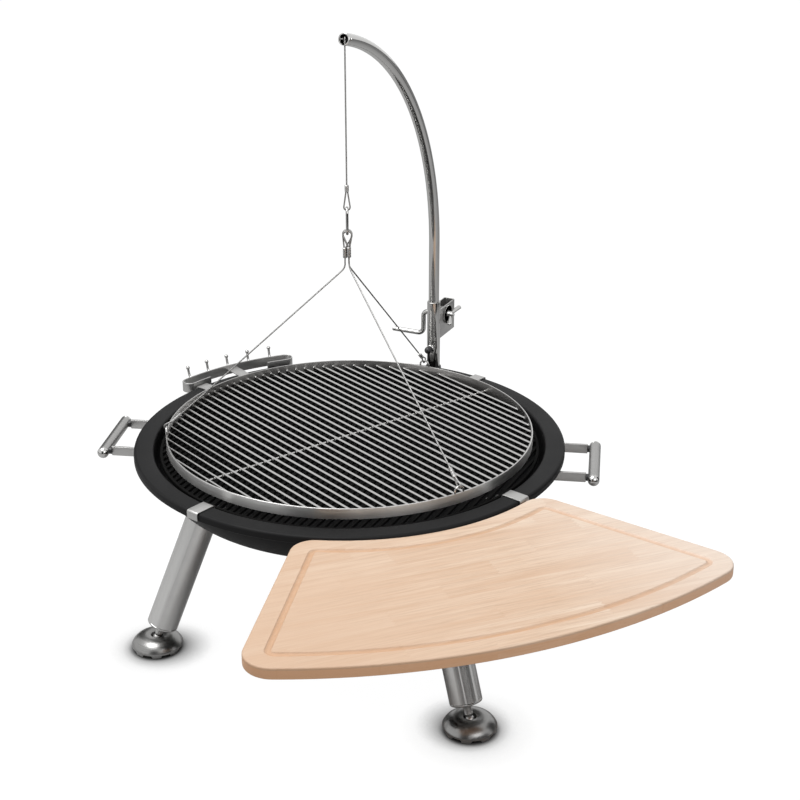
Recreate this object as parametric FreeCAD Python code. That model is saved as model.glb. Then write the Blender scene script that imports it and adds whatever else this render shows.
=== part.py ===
import FreeCAD, Part
import math
import os

from FreeCAD import Vector

# A swivel grill: a fire bowl on three legs, with a grate that hangs from a swivelling arm.
# Millimetres. The origin is on the floor under the centre of the bowl, +Z is up and +Y points to the post.

# Fire bowl, pressed from sheet with a flat flange whose outer edge is turned down
RIM_RADIUS = 400.0
RIM_HEIGHT = 432.0
FLANGE_WIDTH = 37.0
SHEET = 3.0
LIP_DEPTH = 14.0
LIP_BEND = 3.0
EDGE_BEND = 2.0
WALL_STRAIGHT = 10.0
KNUCKLE_RADIUS = 85.0
CROWN_RADIUS = 640.0

# Legs and levelling feet
LEG_AZIMUTHS = (90.0, 210.0, 330.0)
FOOT_INSET = 19.0
LEG_LEAN = 21.0
LEG_DIAMETER = 60.0
LEG_WALL = 2.0
LEG_END = 32.0
LEG_SUNK = 60.0
PLUG_CAP = 5.0
PLUG_DEPTH = 20.0
PLUG_ROUND = 3.0
PLUG_CLEARANCE = 0.1
STUD_DIAMETER = 16.0
STUD_LENGTH = 80.0
STUD_CLEARANCE = 0.1
BALL_DIAMETER = 19.0
BALL_HEIGHT = 20.0
BALL_CLEARANCE = 0.3
FOOT_DIAMETER = 99.0
FOOT_HEIGHT = 28.0
FOOT_SHOULDER = 11.0
FOOT_DOME_RADIUS = 42.0
FOOT_DOME_HEIGHT = 21.5
FOOT_MOUTH = 12.0
FOOT_MOUTH_LAND = 1.0
SKIRT_WALL = 3.5
SKIRT_HEIGHT = 1.0
SKIRT_TUCK = 2.0
SKIRT_BULGE = 0.4
SKIRT_NOTCHES = 8
NOTCH_WIDTH = 22.0
NOTCH_TOP_WIDTH = 16.0
NOTCH_DEPTH = 6.0
PAD_HEIGHT = 8.0
PAD_CLEARANCE = 0.2
PAD_TAPER = 2.5

# Carrying handles
HANDLE_AZIMUTH = 17.5
HANDLE_GAP = 55.0
HANDLE_DROP = 1.0
HANDLE_SPACING = 125.0
HANDLE_ARM_DEPTH = 18.0
HANDLE_ARM_THICK = 5.0
GRIP_DIAMETER = 21.0
GRIP_LENGTH = 146.0
GRIP_CAP_COLLAR = 2.5
GRIP_CAP_DOME = 8.0
SPACER_DIAMETER = 13.0
SPACER_LENGTH = 3.5
SADDLE_CLEARANCE = 0.05

# Rim hangers and charcoal grate
HANGER_AZIMUTH = 75.0
HANGER_COUNT = 4
HANGER_WIDTH = 25.0
STRAP_THICK = 2.0
STRAP_BEND = 3.0
STRAP_SIDE_GAP = 0.4
HANGER_OUTER_DROP = 13.0
HANGER_INNER_DROP = 18.0
HANGER_FOOT = 34.0
COAL_RING_MARGIN = 11.0
COAL_RING_WIDTH = 5.0
COAL_RING_HEIGHT = 8.0
COAL_BAR_WIDTH = 5.0
COAL_BAR_HEIGHT = 5.0
COAL_BAR_PITCH = 14.0

# Post, sleeve and clamp
POST_INSET = 17.0
POST_DIAMETER = 21.5
POST_HEIGHT = 75.0
COLLAR_DIAMETER = 32.0
COLLAR_HEIGHT = 8.0
SLEEVE_DIAMETER = 26.9
SLEEVE_LENGTH = 140.0
RUNNING_CLEARANCE = 0.05
SEAT_GAP = 0.2
CLAMP_HEIGHT = 51.0
CLAMP_SCREW_DIAMETER = 8.0
CLAMP_BOSS_DIAMETER = 15.0
CLAMP_BOSS_REACH = 19.0
CLAMP_TIP_GAP = 0.3
KNOB_DIAMETER = 14.5
KNOB_NECK = 8.5
KNOB_NECK_LENGTH = 2.0

# Bent arm tube
TUBE_DIAMETER = 21.3
TUBE_WALL = 2.0
TUBE_INSERT = 65.0
BEND_RISE = 268.0
BEND_RADIUS = 480.0
TIP_OVERHANG = 4.0
NOTCH_OPENING = 5.0
NOTCH_LENGTH = 9.0

# Cable, tip roller and winch
CABLE_DIAMETER = 3.0
ROLLER_GROOVE = 4.0
ROLLER_GAP = 0.3
ROLLER_FLANGE = 5.8
ROLLER_WIDTH = 8.0
AXLE_DIAMETER = 4.0
AXLE_HEAD_DIAMETER = 7.0
AXLE_HEAD = 1.5
WINCH_OFFSET = 41.0
WINCH_RISE = 109.0
HOUSING_WIDTH = 24.0
HOUSING_SHEET = 2.0
HOUSING_REACH = 81.0
HOUSING_RISE = 68.0
HOUSING_HEIGHT = 62.0
HOUSING_ROUND = 3.0
DRUM_CORE = 12.0
DRUM_FLANGE = 20.0
DRUM_FLANGE_THICK = 2.0
DRUM_SIDE_GAP = 0.5
WINDING_TURNS = 3
WINDING_SAMPLES = 120
WINDING_PITCH = 3.6
WINDING_LIFT = 0.1
LAYER_GAP = 0.35
LAYER_WRAP = 110.0
CABLE_ENTRY_RISE = 218.0
CABLE_ENTRY_BEND = 120.0
SLOT_WIDTH = 5.0
SLOT_MARGIN = 8.0
CRANK_DIAMETER = 10.0
CRANK_BEND = 12.0
CRANK_SIDE = 41.0
CRANK_THROW = 50.0
CRANK_GRIP = 70.0
SHAFT_END = 27.0
NUT_GAP = 0.3
NUT_HUB = 8.0
NUT_TOP = 6.5
NUT_LENGTH = 13.0
NUT_FLANGE = 38.0
NUT_FLANGE_THICK = 2.5
NUT_SPAN = 58.0
NUT_WING_THICK = 3.0
NUT_WING_LENGTH = 21.0
NUT_WING_FOOT = 2.0
NUT_WING_NECK = 11.0
NUT_WING_LOW = 12.0
NUT_WING_ROUND = 4.0
NUT_TURN = 22.0

# Hanging grate
RING_MARGIN = 23.0
RING_BAND = 3.0
RING_HEIGHT = 20.0
RING_LIFT = 3.0
ROD_DIAMETER = 5.0
ROD_PITCH = 17.6
ROD_DEPTH = 12.0
ROD_AZIMUTH = -26.0
ROD_END_GAP = 0.25
BAIL_AZIMUTHS = (90.0, 210.0, 330.0)
BAIL_WIRE = 3.5
BAIL_SPAN = 18.0
BAIL_LEG = 3.0

# Slings, snap hook and the eye of the hoist cable
HOOK_TURN = 27.0
HOOK_WIRE = 5.0
HOOK_HALF_WIDTH = 9.5
HOOK_LENGTH = 47.0
GATE_LENGTH = 20.0
GATE_DIAMETER = 4.4
GATE_TONGUE = 2.0
GATE_SLOT = 2.4
GATE_PIN = 1.6
GATE_PIN_CLEARANCE = 0.05
GATE_TIP_GAP = 0.4
GATE_EAR = 5.0
EYE_GAP = 0.2
SLING_RISE = 329.0
SLING_SPREAD = 4.7
SLING_STEP = 4.2
SLING_BEND = 26.0
SLING_TAIL = 4.0
SLING_EYE_RADIUS = 8.0
SLING_EYE_LENGTH = 22.0
SLING_FERRULE = 19.0
LOW_EYE_RADIUS = 5.0
LOW_EYE_LENGTH = 15.0
LOW_FERRULE = 20.0
HOIST_EYE_RADIUS = 5.5
HOIST_EYE_LENGTH = 28.0
HOIST_FERRULE = 12.0
FERRULE_DIAMETER = 7.6

# Side board
BOARD_AZIMUTH = 316.9
BOARD_DROP = 1.0
BOARD_THICK = 20.0
BOARD_GAP = 5.0
BOARD_OUTER_RADIUS = 1000.0
BOARD_WIDTH = 370.0
BOARD_SLOPE = 31.2
BOARD_APEX = -25.0
BOARD_OUTER_CORNER = 47.0
BOARD_INNER_CORNER = 40.0
BOARD_ROUND = 3.0
GROOVE_INSET = 37.0
GROOVE_CORNER = 12.0
GROOVE_RADIUS = 7.0
GROOVE_DEPTH = 3.0
BOARD_ARM_OFFSET = 110.0
BOARD_ARM_WIDTH = 30.0
BOARD_ARM_THICK = 5.0
BOARD_ARM_INSERT = 49.0
BOARD_ARM_REACH = 232.0
RECEIVER_WALL = 4.0
RECEIVER_CLEARANCE = 0.3
RECEIVER_INSET = 19.0
SCREW_HEAD = 9.0
SCREW_HEAD_HEIGHT = 2.5
SCREW_SHANK = 4.0
SCREW_DEPTH = 12.0
SCREW_CLEARANCE = 0.2
SCREW_INSETS = (52.0, 192.0)

# Utensil rail
RAIL_AZIMUTH = 151.0
RAIL_HALF_ANGLE = 15.5
RAIL_GAP = 8.0
RAIL_DEPTH = 28.0
RAIL_RETURN_ANGLE = 6.0
RAIL_THICK = 3.0
RAIL_HEIGHT = 20.0
RAIL_BELOW_RIM = 12.0
RAIL_STRAP_WIDTH = 24.0
RAIL_STRAP_DROP = 16.0
RAIL_HOOKS = 5
RAIL_HOOK_STEP = 6.1
RAIL_HOOK_WIRE = 5.0
RAIL_HOOK_ROOT = 9.0
RAIL_HOOK_KNEE = (15.0, 6.0)
RAIL_HOOK_TIP = (19.0, 23.0)
RAIL_HOOK_BEND = 8.0
RAIL_HOOK_BALL = 8.0

# Places that follow from the sizes above
UP = Vector(0, 0, 1)
WALL_INNER = RIM_RADIUS - FLANGE_WIDTH
WALL_OUTER = WALL_INNER + SHEET
FOOT_CIRCLE = RIM_RADIUS - FOOT_INSET
HANDLE_REACH = RIM_RADIUS + HANDLE_GAP
COAL_RING_RADIUS = WALL_INNER - COAL_RING_MARGIN
RING_RADIUS = WALL_INNER - RING_MARGIN
POST_RADIUS = RIM_RADIUS - POST_INSET
BEND_START = RIM_HEIGHT + BEND_RISE
CABLE_ENTRY = RIM_HEIGHT + CABLE_ENTRY_RISE
HOUSING_BOTTOM = RIM_HEIGHT + HOUSING_RISE
BOARD_TOP = RIM_HEIGHT - BOARD_DROP
BOARD_INNER = RIM_RADIUS + BOARD_GAP
BOARD_REACH = BOARD_INNER + BOARD_WIDTH
BOARD_ARM_START = BOARD_INNER - BOARD_ARM_INSERT
BOARD_ARM_END = BOARD_INNER + BOARD_ARM_REACH
RECEIVER_END = RIM_RADIUS - RECEIVER_INSET
RAIL_FRONT = RIM_RADIUS + RAIL_GAP
RAIL_BACK = RAIL_FRONT + RAIL_DEPTH
LIP_BOTTOM = RIM_HEIGHT - LIP_DEPTH
RING_BOTTOM = RIM_HEIGHT + RING_LIFT
RING_TOP = RING_BOTTOM + RING_HEIGHT
POST = Vector(0, POST_RADIUS, 0)
SLEEVE_BOTTOM = RIM_HEIGHT + COLLAR_HEIGHT + SEAT_GAP
SLEEVE_TOP = SLEEVE_BOTTOM + SLEEVE_LENGTH
SLEEVE_BORE = POST_DIAMETER + 2 * RUNNING_CLEARANCE
CLAMP_Z = RIM_HEIGHT + CLAMP_HEIGHT
CABLE_RADIUS = CABLE_DIAMETER / 2
ROLLER_TRACK = ROLLER_GROOVE + CABLE_RADIUS
WINCH = Vector(0, POST_RADIUS + WINCH_OFFSET, RIM_HEIGHT + WINCH_RISE)
BEND_CENTRE = Vector(0, POST_RADIUS - BEND_RADIUS, BEND_START)
TIP_ANGLE = math.acos(1 - (POST_RADIUS + TIP_OVERHANG) / BEND_RADIUS)
ROLLER_ANGLE = math.acos(1 - (POST_RADIUS - ROLLER_TRACK) / BEND_RADIUS)
HOOK_ACROSS = Vector(math.cos(math.radians(HOOK_TURN)), math.sin(math.radians(HOOK_TURN)), 0)
HOOK_ALONG = UP.cross(HOOK_ACROSS)
WIRE_REST = HOOK_WIRE / 2 + CABLE_RADIUS + EYE_GAP
SLING_FERRULE_Z = RING_TOP + SLING_RISE
SLING_APEX_Z = SLING_FERRULE_Z + SLING_FERRULE + SLING_EYE_LENGTH + SLING_EYE_RADIUS
HOOK_BOTTOM_Z = SLING_APEX_Z - WIRE_REST
HOOK_TOP_Z = HOOK_BOTTOM_Z + HOOK_LENGTH
HOIST_EYE_Z = HOOK_TOP_Z - WIRE_REST + HOIST_EYE_RADIUS
HOIST_FERRULE_Z = HOIST_EYE_Z + HOIST_EYE_LENGTH
RAIL_BOTTOM = RIM_HEIGHT - RAIL_BELOW_RIM

nodes = {}


def polar(radius, azimuth, height):
    angle = math.radians(azimuth)
    return Vector(radius * math.cos(angle), radius * math.sin(angle), height)


def turned(shape, azimuth):
    copy = shape.copy()
    copy.rotate(Vector(0, 0, 0), UP, azimuth)
    return copy


def rod(radius, start, end):
    run = end - start
    return Part.makeCylinder(radius, run.Length, start, run)


def fused(pieces):
    return pieces[0].multiFuse(pieces[1:]).removeSplitter()


def line(start, end):
    return Part.LineSegment(start, end).toShape()


def arc(start, middle, end):
    return Part.Arc(start, middle, end).toShape()


def spun(edges, axis_point=Vector(0, 0, 0), axis=UP):
    face = Part.Face(Part.Wire(edges))
    return face.revolve(axis_point, axis, 360)


def closed(points):
    return [line(a, b) for a, b in zip(points, points[1:] + points[:1])]


def round_section(radius):
    def face(point, direction):
        return Part.Face(Part.Wire(Part.Circle(point, direction, radius).toShape()))
    return face


def flat_section(across, width, thickness):
    def face(point, direction):
        normal = across.cross(direction).normalize()
        side = across * (width / 2)
        depth = normal * (thickness / 2)
        corners = [point + side + depth, point - side + depth, point - side - depth, point + side - depth]
        return Part.Face(Part.makePolygon(corners + corners[:1]))
    return face


def swept(points, bend, section):
    """One solid along straight runs and the tangent arcs of radius bend that join them."""
    pieces = []
    start = points[0]
    for before, corner, after in zip(points, points[1:], points[2:]):
        ahead = (corner - before).normalize()
        leave = (after - corner).normalize()
        turn = ahead.getAngle(leave)
        setback = bend * math.tan(turn / 2)
        arc_start = corner - ahead * setback
        axis = ahead.cross(leave).normalize()
        centre = arc_start + axis.cross(ahead) * bend
        pieces.append(section(start, ahead).extrude(arc_start - start))
        pieces.append(section(arc_start, ahead).revolve(centre, axis, math.degrees(turn)))
        start = corner + leave * setback
    last = points[-1] - start
    pieces.append(section(start, Vector(last).normalize()).extrude(last))
    return fused(pieces)


def teardrop(centre, towards, side, radius, length, half_gap):
    """A cable eye: an arc about centre whose two legs meet at a ferrule that lies towards."""
    towards = Vector(towards).normalize()
    side = (side - towards * side.dot(towards)).normalize()
    apart = math.hypot(length, half_gap)
    angle = math.atan2(half_gap, length) + math.acos(radius / apart)

    def at(along, across):
        return centre + towards * along + side * across

    leg_start = at(length, half_gap)
    touch = at(radius * math.cos(angle), radius * math.sin(angle))
    leave = at(radius * math.cos(angle), -radius * math.sin(angle))
    leg_end = at(length, -half_gap)
    section = round_section(CABLE_RADIUS)
    axis = towards.cross(side)
    turn = 2 * (math.pi - angle)
    pieces = [
        section(leg_start, (touch - leg_start).normalize()).extrude(touch - leg_start),
        section(touch, (touch - leg_start).normalize()).revolve(centre, axis, math.degrees(turn)),
        section(leave, (leg_end - leave).normalize()).extrude(leg_end - leave),
    ]
    return fused(pieces)


def bowl_point(radius, height):
    return Vector(radius, 0, height)


def bowl_arc(centre, radius, start, end):
    """An arc of the bowl's profile. Angles are from straight down, towards the rim."""
    def at(angle):
        return centre + Vector(radius * math.sin(angle), 0, -radius * math.cos(angle))
    return arc(at(start), at((start + end) / 2), at(end))


def bowl_centres():
    knuckle = bowl_point(WALL_OUTER - KNUCKLE_RADIUS, RIM_HEIGHT - WALL_STRAIGHT)
    reach = CROWN_RADIUS - KNUCKLE_RADIUS
    crown = bowl_point(0, knuckle.z + math.sqrt(reach ** 2 - knuckle.x ** 2))
    return knuckle, crown, math.asin(knuckle.x / reach)


def fire_bowl():
    knuckle, crown, meet = bowl_centres()
    quarter = math.pi / 2
    under = RIM_HEIGHT - SHEET
    lip_outer = LIP_BEND + SHEET
    edge_outer = EDGE_BEND + SHEET
    diagonal = math.sqrt(0.5)
    under_corner = bowl_point(WALL_OUTER + EDGE_BEND, under - EDGE_BEND)
    lip_corner = bowl_point(RIM_RADIUS - lip_outer, RIM_HEIGHT - lip_outer)
    slant_in = Vector(-diagonal, 0, diagonal)
    slant_out = Vector(diagonal, 0, diagonal)
    wall_foot = bowl_point(WALL_OUTER, knuckle.z)
    under_start = bowl_point(WALL_OUTER, under_corner.z)
    under_end = bowl_point(under_corner.x, under)
    lip_start = bowl_point(lip_corner.x, under)
    lip_inside = bowl_point(RIM_RADIUS - SHEET, lip_corner.z)
    lip_outside = bowl_point(RIM_RADIUS, lip_corner.z)
    top_outer = bowl_point(lip_corner.x, RIM_HEIGHT)
    top_inner = bowl_point(under_corner.x, RIM_HEIGHT)
    mouth = bowl_point(WALL_INNER, under_corner.z)
    bottom = crown.z - CROWN_RADIUS
    edges = [
        bowl_arc(crown, CROWN_RADIUS, 0, meet),
        bowl_arc(knuckle, KNUCKLE_RADIUS, meet, quarter),
        line(wall_foot, under_start),
        arc(under_start, under_corner + slant_in * EDGE_BEND, under_end),
        line(under_end, lip_start),
        arc(lip_start, lip_corner + slant_out * LIP_BEND, lip_inside),
        line(lip_inside, bowl_point(RIM_RADIUS - SHEET, LIP_BOTTOM)),
        line(bowl_point(RIM_RADIUS - SHEET, LIP_BOTTOM), bowl_point(RIM_RADIUS, LIP_BOTTOM)),
        line(bowl_point(RIM_RADIUS, LIP_BOTTOM), lip_outside),
        arc(lip_outside, lip_corner + slant_out * lip_outer, top_outer),
        line(top_outer, top_inner),
        arc(top_inner, under_corner + slant_in * edge_outer, mouth),
        line(mouth, bowl_point(WALL_INNER, knuckle.z)),
        bowl_arc(knuckle, KNUCKLE_RADIUS - SHEET, quarter, meet),
        bowl_arc(crown, CROWN_RADIUS - SHEET, meet, 0),
        line(bowl_point(0, bottom + SHEET), bowl_point(0, bottom)),
    ]
    return spun(edges)


def bowl_body():
    """The bowl filled to the rim, for fitting what is welded to its outside."""
    knuckle, crown, meet = bowl_centres()
    bottom = bowl_point(0, crown.z - CROWN_RADIUS)
    top_wall = bowl_point(WALL_OUTER, RIM_HEIGHT)
    top_axis = bowl_point(0, RIM_HEIGHT)
    edges = [
        bowl_arc(crown, CROWN_RADIUS, 0, meet),
        bowl_arc(knuckle, KNUCKLE_RADIUS, meet, math.pi / 2),
        line(bowl_point(WALL_OUTER, knuckle.z), top_wall),
        line(top_wall, top_axis),
        line(top_axis, bottom),
    ]
    return spun(edges)


def make_legs(body):
    lean = math.radians(LEG_LEAN)
    axis = Vector(-math.sin(lean), 0, math.cos(lean))
    ball = Vector(FOOT_CIRCLE, 0, BALL_HEIGHT)
    radius = LEG_DIAMETER / 2
    bore = radius - LEG_WALL
    cap_start = ball + axis * LEG_END
    tube_start = cap_start + axis * PLUG_CAP
    tube_end = ball + axis * ((RIM_HEIGHT - LEG_SUNK - BALL_HEIGHT) / math.cos(lean))
    tube = rod(radius, tube_start, tube_end).cut(rod(bore, tube_start, tube_end)).cut(body)
    cap = rod(radius, cap_start, tube_start)
    rims = [e for e in cap.Edges if e.Closed]
    lower_edge = [e for e in rims if e.CenterOfMass.distanceToPoint(cap_start) < PLUG_CAP / 2]
    cap = cap.makeFillet(PLUG_ROUND, lower_edge)
    insert = rod(bore - PLUG_CLEARANCE, tube_start, tube_start + axis * PLUG_DEPTH)
    hole = rod(STUD_DIAMETER / 2 + STUD_CLEARANCE, ball, tube_end)
    plug = fused([cap, insert]).cut(hole)
    stud = fused([rod(STUD_DIAMETER / 2, ball, ball + axis * STUD_LENGTH),
                  Part.makeSphere(BALL_DIAMETER / 2, ball)])
    dome = foot_dome()
    pad = foot_pad()
    for number, azimuth in enumerate(LEG_AZIMUTHS, 1):
        nodes[f"leg_tube_{number}"] = turned(tube, azimuth)
        nodes[f"leg_plug_{number}"] = turned(plug, azimuth)
        nodes[f"foot_stud_{number}"] = turned(stud, azimuth)
        nodes[f"foot_dome_{number}"] = turned(dome, azimuth)
        nodes[f"foot_pad_{number}"] = turned(pad, azimuth)


def foot_point(radius, height):
    return Vector(FOOT_CIRCLE + radius, 0, height)


def foot_dome():
    rim = FOOT_DIAMETER / 2
    inside = rim - SKIRT_WALL
    socket = BALL_DIAMETER / 2 + BALL_CLEARANCE
    socket_floor = BALL_HEIGHT - socket
    hem = foot_point(rim - SKIRT_TUCK, SKIRT_HEIGHT)
    shoulder = foot_point(rim, FOOT_SHOULDER)
    top = foot_point(FOOT_MOUTH + FOOT_MOUTH_LAND, FOOT_HEIGHT)
    outline = [foot_point(FOOT_MOUTH, FOOT_HEIGHT), foot_point(socket, BALL_HEIGHT),
               foot_point(socket, socket_floor), foot_point(0, socket_floor), foot_point(0, PAD_HEIGHT),
               foot_point(inside, PAD_HEIGHT), foot_point(inside, SKIRT_HEIGHT), hem]
    edges = [line(a, b) for a, b in zip(outline, outline[1:])]
    edges.append(arc(hem, foot_point(rim - SKIRT_BULGE, (SKIRT_HEIGHT + FOOT_SHOULDER) / 2), shoulder))
    edges.append(arc(shoulder, foot_point(FOOT_DOME_RADIUS, FOOT_DOME_HEIGHT), top))
    edges.append(line(top, outline[0]))
    dome = spun(edges, foot_point(0, 0))
    start = inside - SKIRT_WALL
    notch_top = SKIRT_HEIGHT + NOTCH_DEPTH
    corners = [foot_point(start, 0) - Vector(0, NOTCH_WIDTH / 2, 0),
               foot_point(start, 0) + Vector(0, NOTCH_WIDTH / 2, 0),
               foot_point(start, notch_top) + Vector(0, NOTCH_TOP_WIDTH / 2, 0),
               foot_point(start, notch_top) - Vector(0, NOTCH_TOP_WIDTH / 2, 0)]
    notch = Part.Face(Part.Wire(closed(corners))).extrude(Vector(3 * SKIRT_WALL, 0, 0))
    for number in range(SKIRT_NOTCHES):
        cutter = notch.copy()
        cutter.rotate(foot_point(0, 0), UP, 360 * (number + 0.5) / SKIRT_NOTCHES)
        dome = dome.cut(cutter)
    return dome


def foot_pad():
    radius = FOOT_DIAMETER / 2 - SKIRT_WALL - PAD_CLEARANCE
    outline = [foot_point(0, 0), foot_point(radius - PAD_TAPER, 0), foot_point(radius, PAD_TAPER),
               foot_point(radius, PAD_HEIGHT), foot_point(0, PAD_HEIGHT)]
    return spun(closed(outline), foot_point(0, 0))


def make_handles(body):
    top = LIP_BOTTOM - HANDLE_DROP
    height = top - HANDLE_ARM_DEPTH / 2
    grip_radius = GRIP_DIAMETER / 2
    half = GRIP_LENGTH / 2
    grip_centre = Vector(HANDLE_REACH, 0, height)
    grip_start = grip_centre - Vector(0, half, 0)
    grip_end = grip_centre + Vector(0, half, 0)
    grip = rod(grip_radius, grip_start, grip_end)
    saddle = rod(grip_radius + SADDLE_CLEARANCE, grip_start, grip_end)
    arm_end = HANDLE_REACH - grip_radius - SPACER_LENGTH
    arms = []
    spacers = []
    caps = []
    for side in (-1, 1):
        place = side * HANDLE_SPACING / 2
        corner = Vector(0, place - HANDLE_ARM_THICK / 2, top - HANDLE_ARM_DEPTH)
        arms.append(Part.makeBox(arm_end, HANDLE_ARM_THICK, HANDLE_ARM_DEPTH, corner).cut(body))
        spacer = rod(SPACER_DIAMETER / 2, Vector(arm_end, place, height), Vector(HANDLE_REACH, place, height))
        spacers.append(spacer.cut(saddle))
        caps.append(grip_cap(grip_centre + Vector(0, side * half, 0), side))
    spacer_group = []
    cap_group = []
    for name, azimuth in (("right", HANDLE_AZIMUTH), ("left", HANDLE_AZIMUTH + 180)):
        nodes[f"handle_arms_{name}"] = turned(Part.makeCompound(arms), azimuth)
        nodes[f"handle_grip_{name}"] = turned(grip, azimuth)
        spacer_group += [turned(piece, azimuth) for piece in spacers]
        cap_group += [turned(piece, azimuth) for piece in caps]
    nodes["handle_spacers"] = Part.makeCompound(spacer_group)
    nodes["handle_end_caps"] = Part.makeCompound(cap_group)


def grip_cap(base, side):
    radius = GRIP_DIAMETER / 2
    out = Vector(0, side, 0)
    shoulder = base + out * GRIP_CAP_COLLAR
    ball = (radius ** 2 + GRIP_CAP_DOME ** 2) / (2 * GRIP_CAP_DOME)
    crest = shoulder + out * GRIP_CAP_DOME
    return rod(radius, base, crest).common(Part.makeSphere(ball, crest - out * ball))


def make_hangers():
    middle = STRAP_THICK / 2
    outside = RIM_RADIUS + STRAP_SIDE_GAP + middle
    inside = WALL_INNER - STRAP_SIDE_GAP - middle
    level = RIM_HEIGHT + middle
    foot_level = RIM_HEIGHT - HANGER_INNER_DROP + middle
    points = [bowl_point(outside, RIM_HEIGHT - HANGER_OUTER_DROP), bowl_point(outside, level),
              bowl_point(inside, level), bowl_point(inside, foot_level),
              bowl_point(inside - HANGER_FOOT, foot_level)]
    strip = swept(points, STRAP_BEND, flat_section(Vector(0, 1, 0), HANGER_WIDTH, STRAP_THICK))
    step = 360 / HANGER_COUNT
    nodes["rim_hangers"] = Part.makeCompound(
        [turned(strip, HANGER_AZIMUTH + step * number) for number in range(HANGER_COUNT)])


def make_charcoal_grate():
    floor = RIM_HEIGHT - HANGER_INNER_DROP + STRAP_THICK
    inner = COAL_RING_RADIUS - COAL_RING_WIDTH
    seat = Vector(0, 0, floor)
    ring = Part.makeCylinder(COAL_RING_RADIUS, COAL_RING_HEIGHT, seat)
    nodes["charcoal_ring"] = ring.cut(Part.makeCylinder(inner, COAL_RING_HEIGHT, seat))
    limit = Part.makeCylinder(inner - ROD_END_GAP, COAL_RING_HEIGHT, seat)
    count = int((inner - COAL_BAR_WIDTH) / COAL_BAR_PITCH)
    bar_floor = floor + (COAL_RING_HEIGHT - COAL_BAR_HEIGHT) / 2
    bars = []
    for number in range(-count, count + 1):
        corner = Vector(number * COAL_BAR_PITCH - COAL_BAR_WIDTH / 2, -inner, bar_floor)
        bars.append(Part.makeBox(COAL_BAR_WIDTH, 2 * inner, COAL_BAR_HEIGHT, corner).common(limit))
    nodes["charcoal_bars"] = Part.makeCompound(bars)


def ring_about_post(outer, inner, bottom, top):
    low = POST + UP * bottom
    high = POST + UP * top
    return rod(outer, low, high).cut(rod(inner, low, high))


def make_post_and_sleeve():
    foot = POST + UP * RIM_HEIGHT
    nodes["pivot_post"] = rod(POST_DIAMETER / 2, foot, foot + UP * POST_HEIGHT)
    collar_top = RIM_HEIGHT + COLLAR_HEIGHT
    nodes["post_collar"] = ring_about_post(COLLAR_DIAMETER / 2, SLEEVE_BORE / 2, RIM_HEIGHT, collar_top)
    sleeve = ring_about_post(SLEEVE_DIAMETER / 2, SLEEVE_BORE / 2, SLEEVE_BOTTOM, SLEEVE_TOP)
    inward = Vector(0, -1, 0)
    clamp_axis = POST + UP * CLAMP_Z
    boss = rod(CLAMP_BOSS_DIAMETER / 2, clamp_axis, clamp_axis + inward * CLAMP_BOSS_REACH)
    bore = rod(SLEEVE_BORE / 2, POST + UP * SLEEVE_BOTTOM, POST + UP * SLEEVE_TOP)
    screw_radius = CLAMP_SCREW_DIAMETER / 2
    hole = rod(screw_radius + RUNNING_CLEARANCE, clamp_axis, clamp_axis + inward * CLAMP_BOSS_REACH)
    nodes["arm_sleeve"] = fused([sleeve, boss.cut(bore)]).cut(hole)
    tip = clamp_axis + inward * (POST_DIAMETER / 2 + CLAMP_TIP_GAP)
    neck = clamp_axis + inward * (CLAMP_BOSS_REACH + SEAT_GAP)
    neck_end = neck + inward * KNOB_NECK_LENGTH
    nodes["clamp_screw"] = rod(screw_radius, tip, neck)
    ball = Part.makeSphere(KNOB_DIAMETER / 2, neck_end + inward * (KNOB_DIAMETER / 2 - KNOB_NECK_LENGTH / 2))
    nodes["clamp_knob"] = fused([rod(KNOB_NECK / 2, neck, neck_end), ball])


def arm_point(angle, radius=BEND_RADIUS):
    return BEND_CENTRE + Vector(0, radius * math.cos(angle), radius * math.sin(angle))


def bent_tube(radius, bottom, end_angle):
    foot = POST + UP * bottom
    straight = rod(radius, foot, POST + UP * BEND_START)
    section = round_section(radius)(POST + UP * BEND_START, UP)
    bend = section.revolve(BEND_CENTRE, Vector(1, 0, 0), math.degrees(end_angle))
    return fused([straight, bend])


def make_arm_tube():
    bottom = SLEEVE_TOP - TUBE_INSERT
    radius = TUBE_DIAMETER / 2
    tube = bent_tube(radius, bottom, TIP_ANGLE).cut(bent_tube(radius - TUBE_WALL, bottom, TIP_ANGLE))
    roller = arm_point(ROLLER_ANGLE)
    half = Vector(TUBE_DIAMETER, 0, 0)
    tube = tube.cut(rod(AXLE_DIAMETER / 2 + RUNNING_CLEARANCE, roller - half, roller + half))
    tip = arm_point(TIP_ANGLE)
    notch_corner = Vector(-NOTCH_OPENING / 2, -TUBE_DIAMETER, -TUBE_DIAMETER)
    notch = Part.makeBox(NOTCH_OPENING, TUBE_DIAMETER + NOTCH_LENGTH, TUBE_DIAMETER, notch_corner)
    notch.rotate(Vector(0, 0, 0), Vector(1, 0, 0), math.degrees(TIP_ANGLE) - 90)
    notch.translate(tip)
    slot_top = CABLE_ENTRY
    across_wall = TUBE_DIAMETER / 2 - ROLLER_TRACK + CABLE_DIAMETER
    slot_bottom = CABLE_ENTRY - across_wall * cable_slope() - SLOT_MARGIN
    slot = Part.makeBox(SLOT_WIDTH, TUBE_DIAMETER, slot_top - slot_bottom,
                        Vector(-SLOT_WIDTH / 2, POST_RADIUS, slot_bottom))
    nodes["arm_tube"] = tube.cut(notch).cut(slot)


def winding_radius():
    return DRUM_CORE + CABLE_RADIUS + WINDING_LIFT


def second_layer():
    return winding_radius() + CABLE_DIAMETER + LAYER_GAP


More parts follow.
